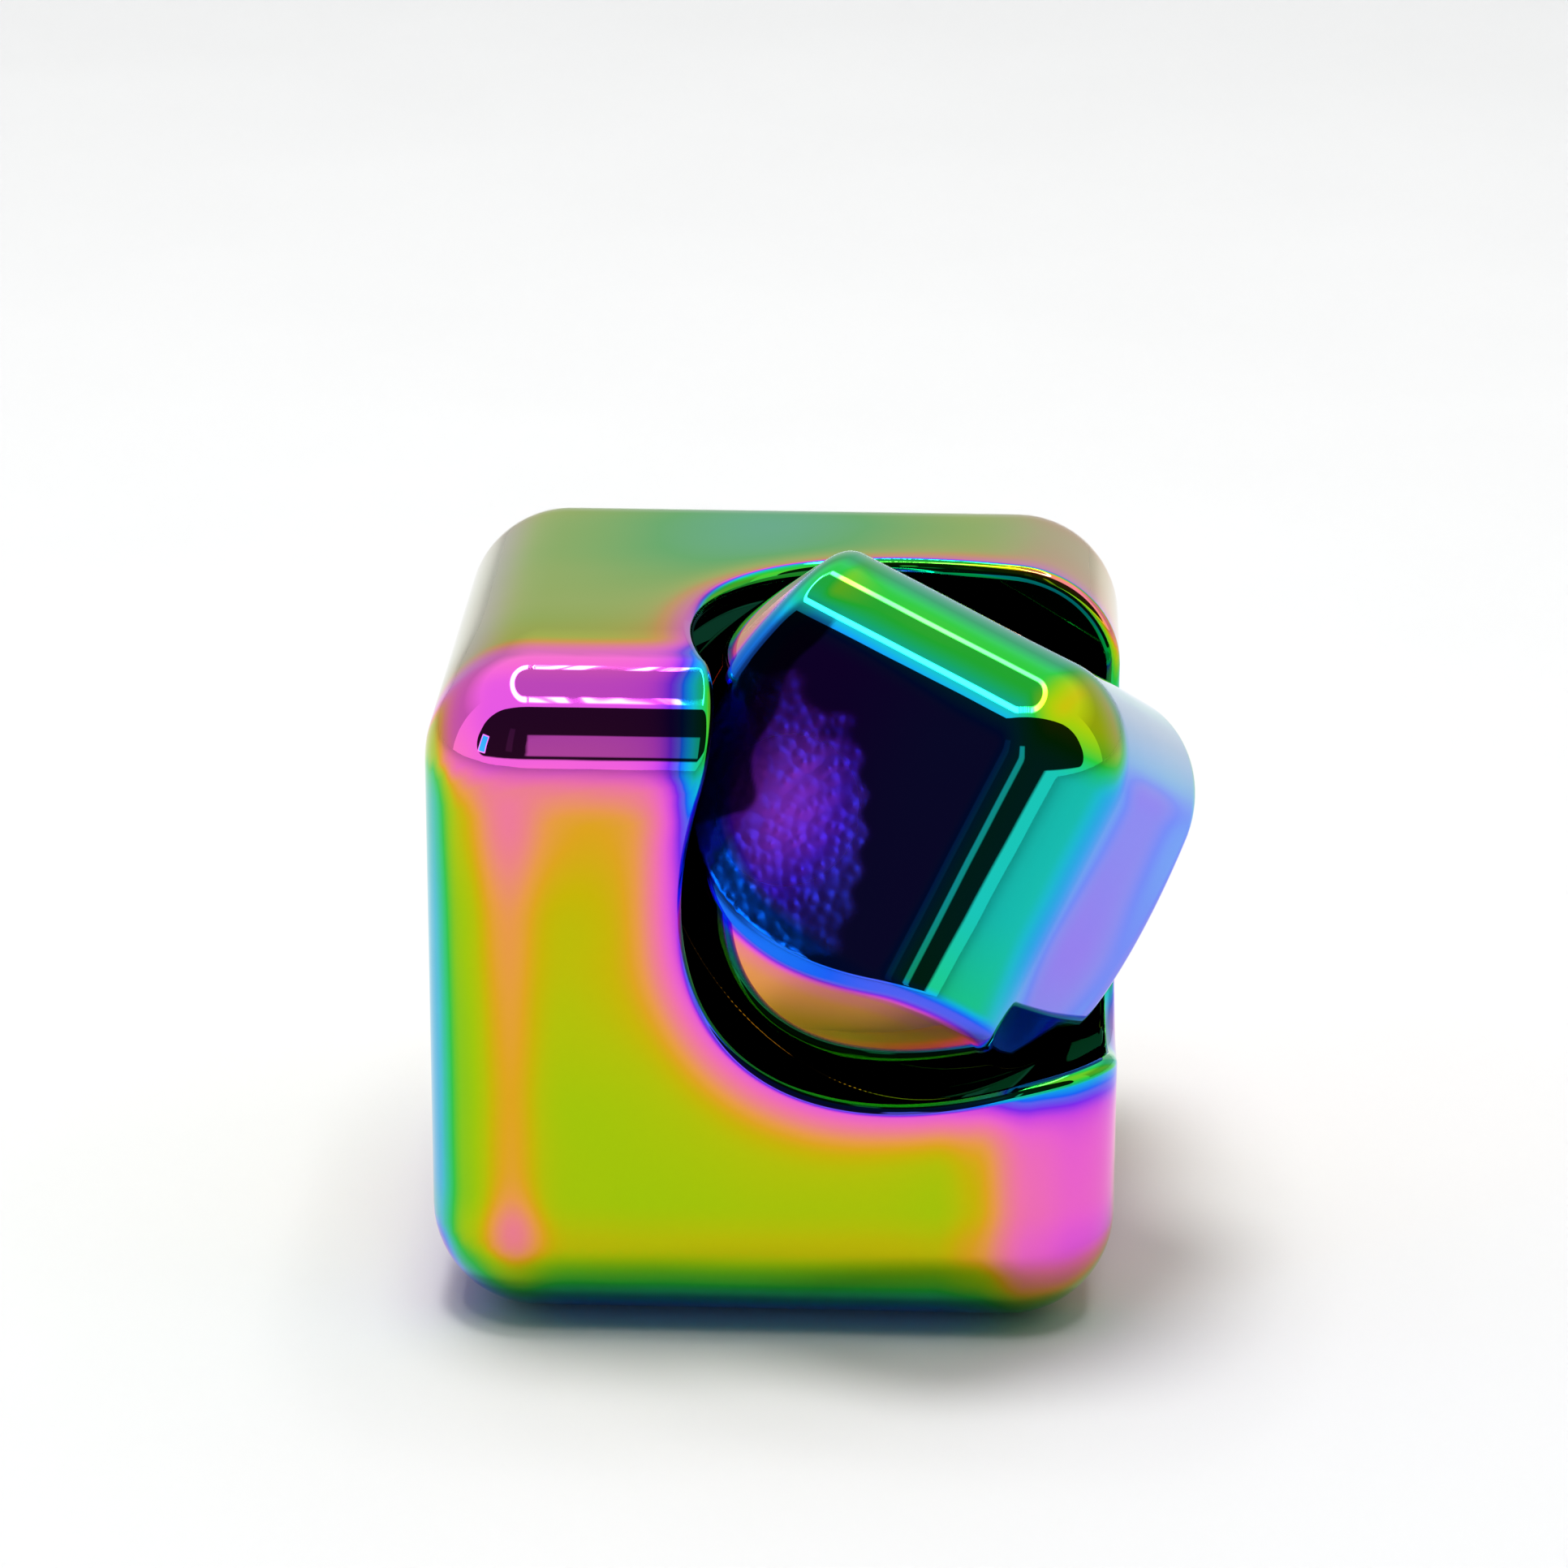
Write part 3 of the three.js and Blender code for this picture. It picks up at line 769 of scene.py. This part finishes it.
# One order of the film's colours, as thickness grows: green, lime, yellow, orange, pink, magenta, violet, blue,
# cyan, teal and green again.
FILM_COLOURS = (
    (0.00, "28c23a"),
    (0.06, "74c41c"),
    (0.12, "9fc50c"),
    (0.155, "b4c00c"),
    (0.185, "c9b40a"),
    (0.215, "dfa520"),
    (0.25, "ea9b4a"),
    (0.31, "ee8487"),
    (0.37, "f274ac"),
    (0.45, "ea5fd0"),
    (0.52, "cf48e0"),
    (0.60, "7a2cec"),
    (0.67, "5f62ee"),
    (0.70, "1a60f6"),
    (0.72, "1c7af4"),
    (0.77, "12a0ea"),
    (0.83, "16b8cf"),
    (0.88, "18bda6"),
    (0.94, "1cc37a"),
    (1.00, "28c23a"),
)
# The grey that painted sheen moves towards, and the near black of painted shade.
PAINTED_SHEEN_GREY, PAINTED_SHADE_BLACK = "bab6ba", "06060a"


def rainbow_plating(settings):
    """Vacuum-plated die casting: buffed mirror-bright, then coated with a clear film whose thickness sets its hue.

    The eye gets a sharp mirror tinted by bands of saturated colour, with a faint orange-peel swell in it.
    """
    material, tree, output = new_material("rainbow_vacuum_plating")
    order = add_node(tree, "ShaderNodeAttribute", attribute_name="film_order")
    place = add_node(tree, "ShaderNodeTexCoord")
    # The film is a little uneven over about 6 mm.
    drift = add_node(
        tree,
        "ShaderNodeTexNoise",
        {"Vector": place.outputs["Object"], "Scale": 1 / (6 * MM), "Detail": 1.0, "Roughness": 0.4},
    )
    centred = add_node(
        tree,
        "ShaderNodeMath",
        {0: drift.outputs["Fac"], 1: 0.03, 2: -0.015},
        operation="MULTIPLY_ADD",
    )
    total = add_node(tree, "ShaderNodeMath", {0: order.outputs["Fac"], 1: centred.outputs[0]}, operation="ADD")
    phase = add_node(tree, "ShaderNodeMath", {0: total.outputs[0]}, operation="FRACT")
    ramp = add_node(tree, "ShaderNodeValToRGB", {"Fac": phase.outputs[0]})
    stops = ramp.color_ramp.elements
    stops[0].position, stops[-1].position = FILM_COLOURS[0][0], FILM_COLOURS[-1][0]
    for position, _ in FILM_COLOURS[1:-1]:
        stops.new(position)
    for stop, (_, colour) in zip(stops, FILM_COLOURS):
        stop.color = (*linear(colour), 1)
    # Painted sheen washes the colour out towards grey where the value is positive, and painted shade darkens it to near
    # black where it is negative.
    tone = add_node(tree, "ShaderNodeAttribute", attribute_name="painted_sheen_and_shade")
    pale = add_node(
        tree,
        "ShaderNodeMix",
        {"Factor": tone.outputs["Fac"], "A": ramp.outputs["Color"], "B": (*linear(PAINTED_SHEEN_GREY), 1)},
        data_type="RGBA",
    )
    painted_shade_share = add_node(tree, "ShaderNodeMath", {0: tone.outputs["Fac"], 1: -0.93}, operation="MULTIPLY")
    tint = add_node(
        tree,
        "ShaderNodeMix",
        {"Factor": painted_shade_share.outputs[0], "A": pale.outputs["Result"], "B": (*linear(PAINTED_SHADE_BLACK), 1)},
        data_type="RGBA",
    )
    # Buffing leaves a swell about 1.4 mm from crest to crest, and the cast patch pebbles of about 0.45 mm.
    swell = add_node(
        tree,
        "ShaderNodeTexNoise",
        {"Vector": place.outputs["Object"], "Scale": 1 / (2.8 * MM), "Detail": 0.0},
    )
    swell_bump = add_node(
        tree,
        "ShaderNodeBump",
        {"Height": swell.outputs["Fac"], "Distance": 0.01 * MM, "Strength": 1.0},
    )
    grain = add_node(tree, "ShaderNodeAttribute", attribute_name="cast_grain")
    pits = add_node(
        tree,
        "ShaderNodeTexVoronoi",
        {"Vector": place.outputs["Object"], "Scale": 1 / (0.45 * MM), "Smoothness": 0.6},
        feature="SMOOTH_F1",
    )
    height = add_node(
        tree,
        "ShaderNodeMath",
        {0: pits.outputs["Distance"], 1: grain.outputs["Fac"]},
        operation="MULTIPLY",
    )
    grain_bump = add_node(
        tree,
        "ShaderNodeBump",
        {
            "Height": height.outputs[0],
            "Distance": 0.05 * MM,
            "Strength": 1.0,
            "Normal": swell_bump.outputs["Normal"],
        },
    )
    rough = add_node(
        tree,
        "ShaderNodeMath",
        {0: grain.outputs["Fac"], 1: 0.42, 2: settings.polish},
        operation="MULTIPLY_ADD",
    )
    shader = add_node(
        tree,
        "ShaderNodeBsdfPrincipled",
        {
            "Base Color": tint.outputs["Result"],
            "Metallic": 1.0,
            "Roughness": rough.outputs[0],
            "Normal": grain_bump.outputs["Normal"],
        },
    )
    tree.links.new(shader.outputs[0], output.inputs["Surface"])
    return material


def ground_metal(name, colour, roughness, grain_size, grain_depth):
    """A bright ground or plated steel with a fine even grain, grain_size apart and grain_depth deep."""
    material, tree, output = new_material(name)
    place = add_node(tree, "ShaderNodeTexCoord")
    noise = add_node(
        tree,
        "ShaderNodeTexNoise",
        {"Vector": place.outputs["Object"], "Scale": 1 / grain_size, "Detail": 2.0},
    )
    bump = add_node(tree, "ShaderNodeBump", {"Height": noise.outputs["Fac"], "Distance": grain_depth})
    rough = add_node(
        tree,
        "ShaderNodeMapRange",
        {"Value": noise.outputs["Fac"], "To Min": roughness * 0.8, "To Max": roughness * 1.25},
    )
    shader = add_node(
        tree,
        "ShaderNodeBsdfPrincipled",
        {
            "Base Color": (*colour, 1),
            "Metallic": 1.0,
            "Roughness": rough.outputs[0],
            "Normal": bump.outputs["Normal"],
        },
    )
    tree.links.new(shader.outputs[0], output.inputs["Surface"])
    return material


def moulded_nylon(colour):
    """Natural moulded nylon: waxy, faintly mottled and matt."""
    material, tree, output = new_material("moulded_nylon")
    place = add_node(tree, "ShaderNodeTexCoord")
    noise = add_node(
        tree,
        "ShaderNodeTexNoise",
        {"Vector": place.outputs["Object"], "Scale": 1 / (0.9 * MM), "Detail": 2.0},
    )
    tint = add_node(
        tree,
        "ShaderNodeMix",
        {"Factor": noise.outputs["Fac"], "A": (*colour, 1), "B": (*(0.86 * c for c in colour), 1)},
        data_type="RGBA",
    )
    shader = add_node(
        tree,
        "ShaderNodeBsdfPrincipled",
        {"Base Color": tint.outputs["Result"], "Roughness": 0.48, "IOR": 1.53, "Subsurface Weight": 0.1},
    )
    tree.links.new(shader.outputs[0], output.inputs["Surface"])
    return material


def matt_card(colour):
    """Matt white card: even, with a barely visible cloudiness."""
    material, tree, output = new_material("matt_white_card")
    place = add_node(tree, "ShaderNodeTexCoord")
    cloud = add_node(
        tree,
        "ShaderNodeTexNoise",
        {"Vector": place.outputs["Object"], "Scale": 1 / (25 * MM), "Detail": 2.0},
    )
    tint = add_node(
        tree,
        "ShaderNodeMix",
        {"Factor": cloud.outputs["Fac"], "A": (*colour, 1), "B": (*(0.96 * c for c in colour), 1)},
        data_type="RGBA",
    )
    shader = add_node(tree, "ShaderNodeBsdfPrincipled", {"Base Color": tint.outputs["Result"], "Roughness": 0.9})
    tree.links.new(shader.outputs[0], output.inputs["Surface"])
    return material


# ---- Camera and key lamp, in millimetres and degrees ----

CAMERA_AZIMUTH, CAMERA_ELEVATION, CAMERA_ROLL = 2.328, 19.790, 0.177
CAMERA_DISTANCE = 228.234
CAMERA_RISE, CAMERA_SHIFT = 4.709, 0.02  # of its aim from the cube's middle
SENSOR_WIDTH, LENS = 36, 128.81
KEY_LAMP_PLACE, KEY_LAMP_SIZE = (-30, 25, 420), 120
KEY_LAMP_WATTS = 1.5

# ---- Operators ----


class FIDGET_OT_cube_body(bpy.types.Operator):
    """Make the rounded cube with its diagonal socket and stepped bearing seat"""

    bl_idname = "fidget.cube_body"
    bl_label = "Cube Body"

    def execute(self, context):
        shape = context.scene.fidget_shape
        angles = np.arange(shape.steps_round) * 2 * math.pi / shape.steps_round
        roll = shape.rim_radius
        rolled = rolled_edge(SOCKET_RADIUS, roll, -1, angles)
        # The socket's floor, the bearing's seat and the relief behind it.
        outline = [
            (SOCKET_RADIUS, SOCKET_FLOOR, shape.floor_radius),
            (SEAT_RADIUS, SOCKET_FLOOR, 0.12 * MM),
            (SEAT_RADIUS, SEAT_DEPTH, 0.05 * MM),
            (RELIEF_RADIUS, SEAT_DEPTH, 0.1 * MM),
            (RELIEF_RADIUS, RELIEF_DEPTH, 0.3 * MM),
        ]
        steps = (SHELL_STEPS, RIM_STEPS, BORE_STEPS)
        surface = shell_rings(angles, rolled, roll, -AXIS, steps, outline)
        layers = {"film_order": body_film, "painted_sheen_and_shade": body_painted_sheen_and_shade, "cast_grain": no_grain}
        mesh = shell_mesh("cube_shell", *surface, layers, buffed)
        piece = add_piece("cube_shell", mesh, "cube", ["cube_body"])
        piece.data.materials.append(bpy.data.materials["rainbow_vacuum_plating"])
        return {"FINISHED"}


class FIDGET_OT_corner_spinner(bpy.types.Operator):
    """Make the corner casting that spins in the socket"""

    bl_idname = "fidget.corner_spinner"
    bl_label = "Spinning Corner"

    def execute(self, context):
        shape = context.scene.fidget_shape
        angles = np.arange(shape.steps_round) * 2 * math.pi / shape.steps_round
        roll = shape.end_radius
        turn = np.array(Matrix.Rotation(-shape.rest_turn, 3, Vector(AXIS)))
        rolled = rolled_edge(SPINNER_RADIUS, roll, 1, angles)
        # The turned casting's front face shows how proud of the cube it stands.
        lead = turn @ np.array((0, -1, 0))
        stand_off = float(((node_points("corner_spinner") - CORNER) @ lead).max() / (AXIS @ lead))
        underside, hole_top = SPINNER_UNDERSIDE + stand_off, HOLE_DEPTH + stand_off
        outline = [
            (SPINNER_RADIUS, underside, shape.underside_radius),
            (HOLE_RADIUS, underside, 0.15 * MM),
            (HOLE_RADIUS, hole_top, 0.1 * MM),
        ]
        steps = (CAP_STEPS, END_STEPS, SKIRT_STEPS)
        surface = shell_rings(angles, rolled, roll, AXIS, steps, outline)
        around = np.append(angles, 2 * math.pi)
        top_levels = np.append(rolled[3], rolled[3][0])

        def wall_top(points):
            across = points - CORNER
            angle = np.arctan2(across @ ACROSS_SIDE, across @ ACROSS_UP) % (2 * math.pi)
            return np.interp(angle, around, top_levels)

        def film(points, normals):
            return spinner_film(points, normals, wall_top)

        layers = {"film_order": film, "painted_sheen_and_shade": spinner_painted_sheen_and_shade, "cast_grain": grain_of_casting}
        mesh = shell_mesh("corner_shell", *surface, layers)
        corner = Vector(CORNER)
        move = Matrix.Translation(Vector(stand_off * AXIS)) @ Matrix.Translation(corner)
        mesh.transform(move @ Matrix(turn).to_4x4() @ Matrix.Translation(-corner))
        mesh.update()
        piece = add_piece("corner_shell", mesh, "spinner", ["corner_spinner"])
        piece.data.materials.append(bpy.data.materials["rainbow_vacuum_plating"])
        return {"FINISHED"}


class FIDGET_OT_bearing(bpy.types.Operator):
    """Finish the ball bearing, its pin, washer and screw"""

    bl_idname = "fidget.bearing"
    bl_label = "Bearing"

    def execute(self, context):
        finish = context.scene.fidget_finish
        # Ground chrome steel: bright, with grinding marks far under a tenth of a millimetre.
        steel = ground_metal("ground_chrome_steel", finish.steel, 0.16, 0.12 * MM, 0.0006 * MM)
        # Bright zinc plate: bluish and slightly milky.
        zinc = ground_metal("bright_zinc_plate", finish.zinc, 0.3, 0.2 * MM, 0.0015 * MM)
        nylon = moulded_nylon(finish.nylon)
        finishes = {"zinc_plated_steel": zinc, "bearing_steel": steel, "stamped_steel": steel, "cage_nylon": nylon}
        for part in frame["record"]["subparts"]:
            material = finishes.get(part["material_slot"])
            if material is None:
                continue
            mesh = frame["nodes"][part["node"]].data
            mesh.materials.clear()
            mesh.materials.append(material)
        self.add_turned_parts(context.scene.fidget_shape.turned_rounding, steel, zinc)
        self.add_balls_and_cage(steel, nylon)
        return {"FINISHED"}

    def add_turned_parts(self, rounding, steel, zinc):
        for node, body, slot, material in (
            ("axle_pin", "spinner", "zinc_plated_steel", zinc),
            ("clamp_washer", "spinner", "zinc_plated_steel", zinc),
            ("bearing_inner_race", "spinner", "bearing_steel", steel),
            ("bearing_outer_race", "cube", "bearing_steel", steel),
            ("front_shield", "cube", "stamped_steel", steel),
            ("rear_shield", "cube", "stamped_steel", steel),
        ):
            piece = add_piece(f"{node}_turned", turned_mesh(node, rounding), body, [node])
            piece.data.materials.append(material)

    def add_balls_and_cage(self, steel, nylon):
        place, pitch, handed = bearing_place()
        tree = ball_tree(steel)
        low, high = (np.array(v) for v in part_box("ball_01"))
        for number in range(BALL_COUNT):
            node = f"ball_{number + 1:02d}"
            values = {"Ball Radius": float((high - low).max() / 2), "Pitch Radius": pitch, "Count": BALL_COUNT}
            values["Number"] = handed * number % BALL_COUNT
            add_piece(f"{node}_ground", grown(node, tree, place, values), f"{node}_body", [node])
        points = node_points("ball_cage") - np.array(place.translation)
        along = points @ AXIS
        radii = np.linalg.norm(points - along[:, None] * AXIS, axis=1)
        values = {
            "Inner Radius": float(radii.min()),
            "Outer Radius": float(radii.max()),
            "Low Side": float(along.min()),
            "Open Side": float(along.max()),
            "Pocket Radius": float((high - low).max() / 2) + POCKET_GAP,
            "Count": BALL_COUNT,
        }
        cage = grown("crown_cage", cage_tree(nylon), place, values)
        add_piece("crown_cage", cage, "cage", ["ball_cage"])


class FIDGET_OT_stage(bpy.types.Operator):
    """Lay the pale floor, light the studio and place the camera"""

    bl_idname = "fidget.stage"
    bl_label = "Stage"

    def execute(self, context):
        stage = context.scene.fidget_stage
        scene = context.scene
        self.add_floor(scene, stage)
        self.light_studio(scene)
        self.add_key_lamp(scene)
        self.place_camera(scene)
        scene.view_settings.view_transform = "Standard"
        scene.view_settings.look = "None"
        return {"FINISHED"}

    def add_floor(self, scene, stage):
        reach = stage.floor_reach
        corners = [(-reach, -reach, 0), (reach, -reach, 0), (reach, reach, 0), (-reach, reach, 0)]
        mesh = bpy.data.meshes.new("floor")
        mesh.from_pydata(corners, [], [(0, 1, 2, 3)])
        floor = bpy.data.objects.new("floor", mesh)
        scene.collection.objects.link(floor)
        mesh.materials.append(matt_card(stage.paper))

    def light_studio(self, scene):
        """A white light tent, open and dark at the front, with a rounded loop of lamps overhead."""
        world = bpy.data.worlds.new("light_tent")
        scene.world = world
        world.use_nodes = True
        tree = world.node_tree
        tree.nodes.clear()
        output = add_node(tree, "ShaderNodeOutputWorld")
        place = add_node(tree, "ShaderNodeTexCoord")
        direction = add_node(tree, "ShaderNodeSeparateXYZ", [place.outputs["Generated"]])
        x, y, z = direction.outputs
        forward = add_node(tree, "ShaderNodeMath", [y, -1.0], operation="MULTIPLY")
        azimuth = add_node(tree, "ShaderNodeMath", [x, forward], operation="ARCTAN2")
        elevation = add_node(tree, "ShaderNodeMath", [z], operation="ARCSINE")

        def both(a, b):
            """The part of the tent that lies in area a and in area b."""
            return add_node(tree, "ShaderNodeMath", [a, b], operation="MULTIPLY")

        def window(value, low, high, soft):
            """1 between low and high, falling to 0 over soft either side."""
            slopes = [value, 1 / soft, -low / soft + 0.5], [value, -1 / soft, high / soft + 0.5]
            rise, fall = (
                add_node(tree, "ShaderNodeMath", slope, operation="MULTIPLY_ADD", use_clamp=True) for slope in slopes
            )
            return both(rise, fall)

        def beyond(value, middle, half):
            """How far value lies outside half either side of middle."""
            off = add_node(tree, "ShaderNodeMath", [value, middle], operation="SUBTRACT")
            size = add_node(tree, "ShaderNodeMath", [off], operation="ABSOLUTE")
            past = add_node(tree, "ShaderNodeMath", [size, half], operation="SUBTRACT")
            return add_node(tree, "ShaderNodeMath", [past, 0.0], operation="MAXIMUM")

        def length(a, b):
            squares = [add_node(tree, "ShaderNodeMath", [v, 2.0], operation="POWER") for v in (a, b)]
            total = add_node(tree, "ShaderNodeMath", squares, operation="ADD")
            return add_node(tree, "ShaderNodeMath", [total], operation="SQRT")

        def panel(left, right, low, high, soft=1.5):
            """An area of the tent between two azimuths and two elevations, in degrees."""
            left, right, low, high, soft = (math.radians(v) for v in (left, right, low, high, soft))
            return both(window(azimuth, left, right, soft), window(elevation, low, high, soft))

        def blended(base, value, share):
            """base moved towards value by share."""
            change = add_node(tree, "ShaderNodeMath", [value, base], operation="SUBTRACT")
            return add_node(tree, "ShaderNodeMath", [change, share, base], operation="MULTIPLY_ADD")

        # Distance from the middle of the loop of lamps, on a plane one unit overhead, with straight long sides
        # and round ends.
        height = add_node(tree, "ShaderNodeMath", [z, 0.02], operation="MAXIMUM")
        across = add_node(tree, "ShaderNodeMath", [x, height], operation="DIVIDE")
        along = add_node(tree, "ShaderNodeMath", [y, height], operation="DIVIDE")
        past_x = beyond(across, -0.02, 0.1)
        off_line = add_node(tree, "ShaderNodeMath", [along, 0.09], operation="SUBTRACT")
        past_y = add_node(tree, "ShaderNodeMath", [off_line, 0.52], operation="MULTIPLY")
        off_middle = length(past_x, past_y)
        overhead = add_node(tree, "ShaderNodeMath", [z, 0.1], operation="GREATER_THAN")
        inside_loop = both(window(off_middle, -1.0, 0.19, 0.02), overhead)
        # The loop's long sides are rows of separate lamps, and show as uneven dashes.
        rows = add_node(tree, "ShaderNodeTexNoise", {"W": across, "Scale": 150.0, "Detail": 1.0}, noise_dimensions="1D")
        round_ends = add_node(tree, "ShaderNodeMath", [past_x, 0.01], operation="GREATER_THAN")
        lamps = add_node(tree, "ShaderNodeMath", [window(rows, 0.52, 9.0, 0.05), round_ends], operation="MAXIMUM")
        loop = both(both(window(off_middle, 0.17, 0.235, 0.02), overhead), lamps)
        # The tent's open side has round ends too, on a plane one unit in front.
        ahead = add_node(tree, "ShaderNodeMath", [forward, 0.001], operation="MAXIMUM")
        past_side = beyond(add_node(tree, "ShaderNodeMath", [x, ahead], operation="DIVIDE"), 0.25, 1.35)
        past_height = beyond(add_node(tree, "ShaderNodeMath", [z, ahead], operation="DIVIDE"), 1.13, 0.2)
        opening = window(length(past_side, past_height), -1.0, 0.8, 0.03)
        behind = add_node(tree, "ShaderNodeMath", [y, 0.0], operation="GREATER_THAN")
        low_down = both(window(elevation, -0.3, 0.62, 0.3), behind)
        small_lamp = panel(-57, -49, 8, 24)

        light = 1.12  # the tent's white cloth
        for brightness, area in (
            (0.66, low_down),
            (0.7, inside_loop),
            (0.022, opening),
            (0.5, panel(-6.2, -0.5, 11, 33)),  # a pale sheet, seen in the opening
            (0.05, panel(-26, -19, 14, 38)),  # the edge of something dark beside it
            (6.0, small_lamp),
            (14.0, loop),
        ):
            light = blended(light, brightness, area)
        # The card behind the cube is even and pale to the camera.
        path = add_node(tree, "ShaderNodeLightPath")
        shown = blended(light, 0.93, path.outputs["Is Camera Ray"])
        # The small lamp's light is cold.
        hue = add_node(
            tree,
            "ShaderNodeMix",
            {"Factor": small_lamp, "A": (1, 1, 1, 1), "B": (*linear("18d8ff"), 1)},
            data_type="RGBA",
        )
        background = add_node(tree, "ShaderNodeBackground", {"Color": hue.outputs["Result"], "Strength": shown})
        tree.links.new(background.outputs[0], output.inputs["Surface"])

    def add_key_lamp(self, scene):
        """A soft lamp high behind the cube's left, which gives it a shadow on the floor but no highlight."""
        lamp = bpy.data.lights.new("key_lamp", "AREA")
        lamp.shape = "DISK"
        lamp.size = KEY_LAMP_SIZE * MM
        lamp.energy = KEY_LAMP_WATTS
        place = bpy.data.objects.new("key_lamp", lamp)
        place.location = Vector(KEY_LAMP_PLACE) * MM
        place.rotation_euler = (Vector((0, 0, 0)) - place.location).to_track_quat("-Z", "Y").to_euler()
        place.visible_glossy = False
        scene.collection.objects.link(place)

    def place_camera(self, scene):
        azimuth, elevation, roll = (math.radians(v) for v in (CAMERA_AZIMUTH, CAMERA_ELEVATION, CAMERA_ROLL))
        reach = math.cos(elevation)
        back = Vector((math.sin(azimuth) * reach, -math.cos(azimuth) * reach, math.sin(elevation)))
        level = Vector((math.cos(azimuth), math.sin(azimuth), 0))
        right = level * math.cos(roll) + back.cross(level) * math.sin(roll)
        up = back.cross(right)
        data = bpy.data.cameras.new("camera")
        data.sensor_width = SENSOR_WIDTH
        data.lens = LENS
        data.clip_start, data.clip_end = 0.01, 10
        camera = bpy.data.objects.new("camera", data)
        camera.matrix_world = Matrix((right, up, back)).transposed().to_4x4()
        aim = Vector(CENTRE) + up * CAMERA_RISE * MM + right * CAMERA_SHIFT * MM
        camera.location = aim + back * CAMERA_DISTANCE * MM
        scene.collection.objects.link(camera)
        scene.camera = camera


class FIDGET_OT_finishes(bpy.types.Operator):
    """Make the plated finish that the cube and its corner share"""

    bl_idname = "fidget.finishes"
    bl_label = "Plated Finish"

    def execute(self, context):
        rainbow_plating(context.scene.fidget_finish)
        return {"FINISHED"}


class FIDGET_PT_panel(bpy.types.Panel):
    """Lists the steps that build the fidget cube"""

    bl_idname = "FIDGET_PT_panel"
    bl_label = "Fidget Cube"
    bl_space_type = "VIEW_3D"
    bl_region_type = "UI"
    bl_category = "Fidget Cube"

    def draw(self, context):
        for group in (context.scene.fidget_shape, context.scene.fidget_finish, context.scene.fidget_stage):
            box = self.layout.box()
            for name in group.__annotations__:
                box.prop(group, name)
        for operator in STEPS:
            self.layout.operator(operator.bl_idname)


GROUPS = (
    ("fidget_shape", FidgetShapeSettings),
    ("fidget_finish", FidgetFinishSettings),
    ("fidget_stage", FidgetStageSettings),
)
STEPS = (
    FIDGET_OT_finishes,
    FIDGET_OT_cube_body,
    FIDGET_OT_corner_spinner,
    FIDGET_OT_bearing,
    FIDGET_OT_stage,
)


def register():
    for name, group in GROUPS:
        bpy.utils.register_class(group)
        setattr(bpy.types.Scene, name, bpy.props.PointerProperty(type=group))
    for kind in (*STEPS, FIDGET_PT_panel):
        bpy.utils.register_class(kind)


def unregister():
    for kind in (FIDGET_PT_panel, *reversed(STEPS)):
        bpy.utils.unregister_class(kind)
    for name, group in reversed(GROUPS):
        delattr(bpy.types.Scene, name)
        bpy.utils.unregister_class(group)


def main():
    register()
    bpy.ops.fidget.finishes()
    bpy.ops.fidget.cube_body()
    bpy.ops.fidget.corner_spinner()
    bpy.ops.fidget.bearing()
    bpy.ops.fidget.stage()


if __name__ == "__main__":
    main()
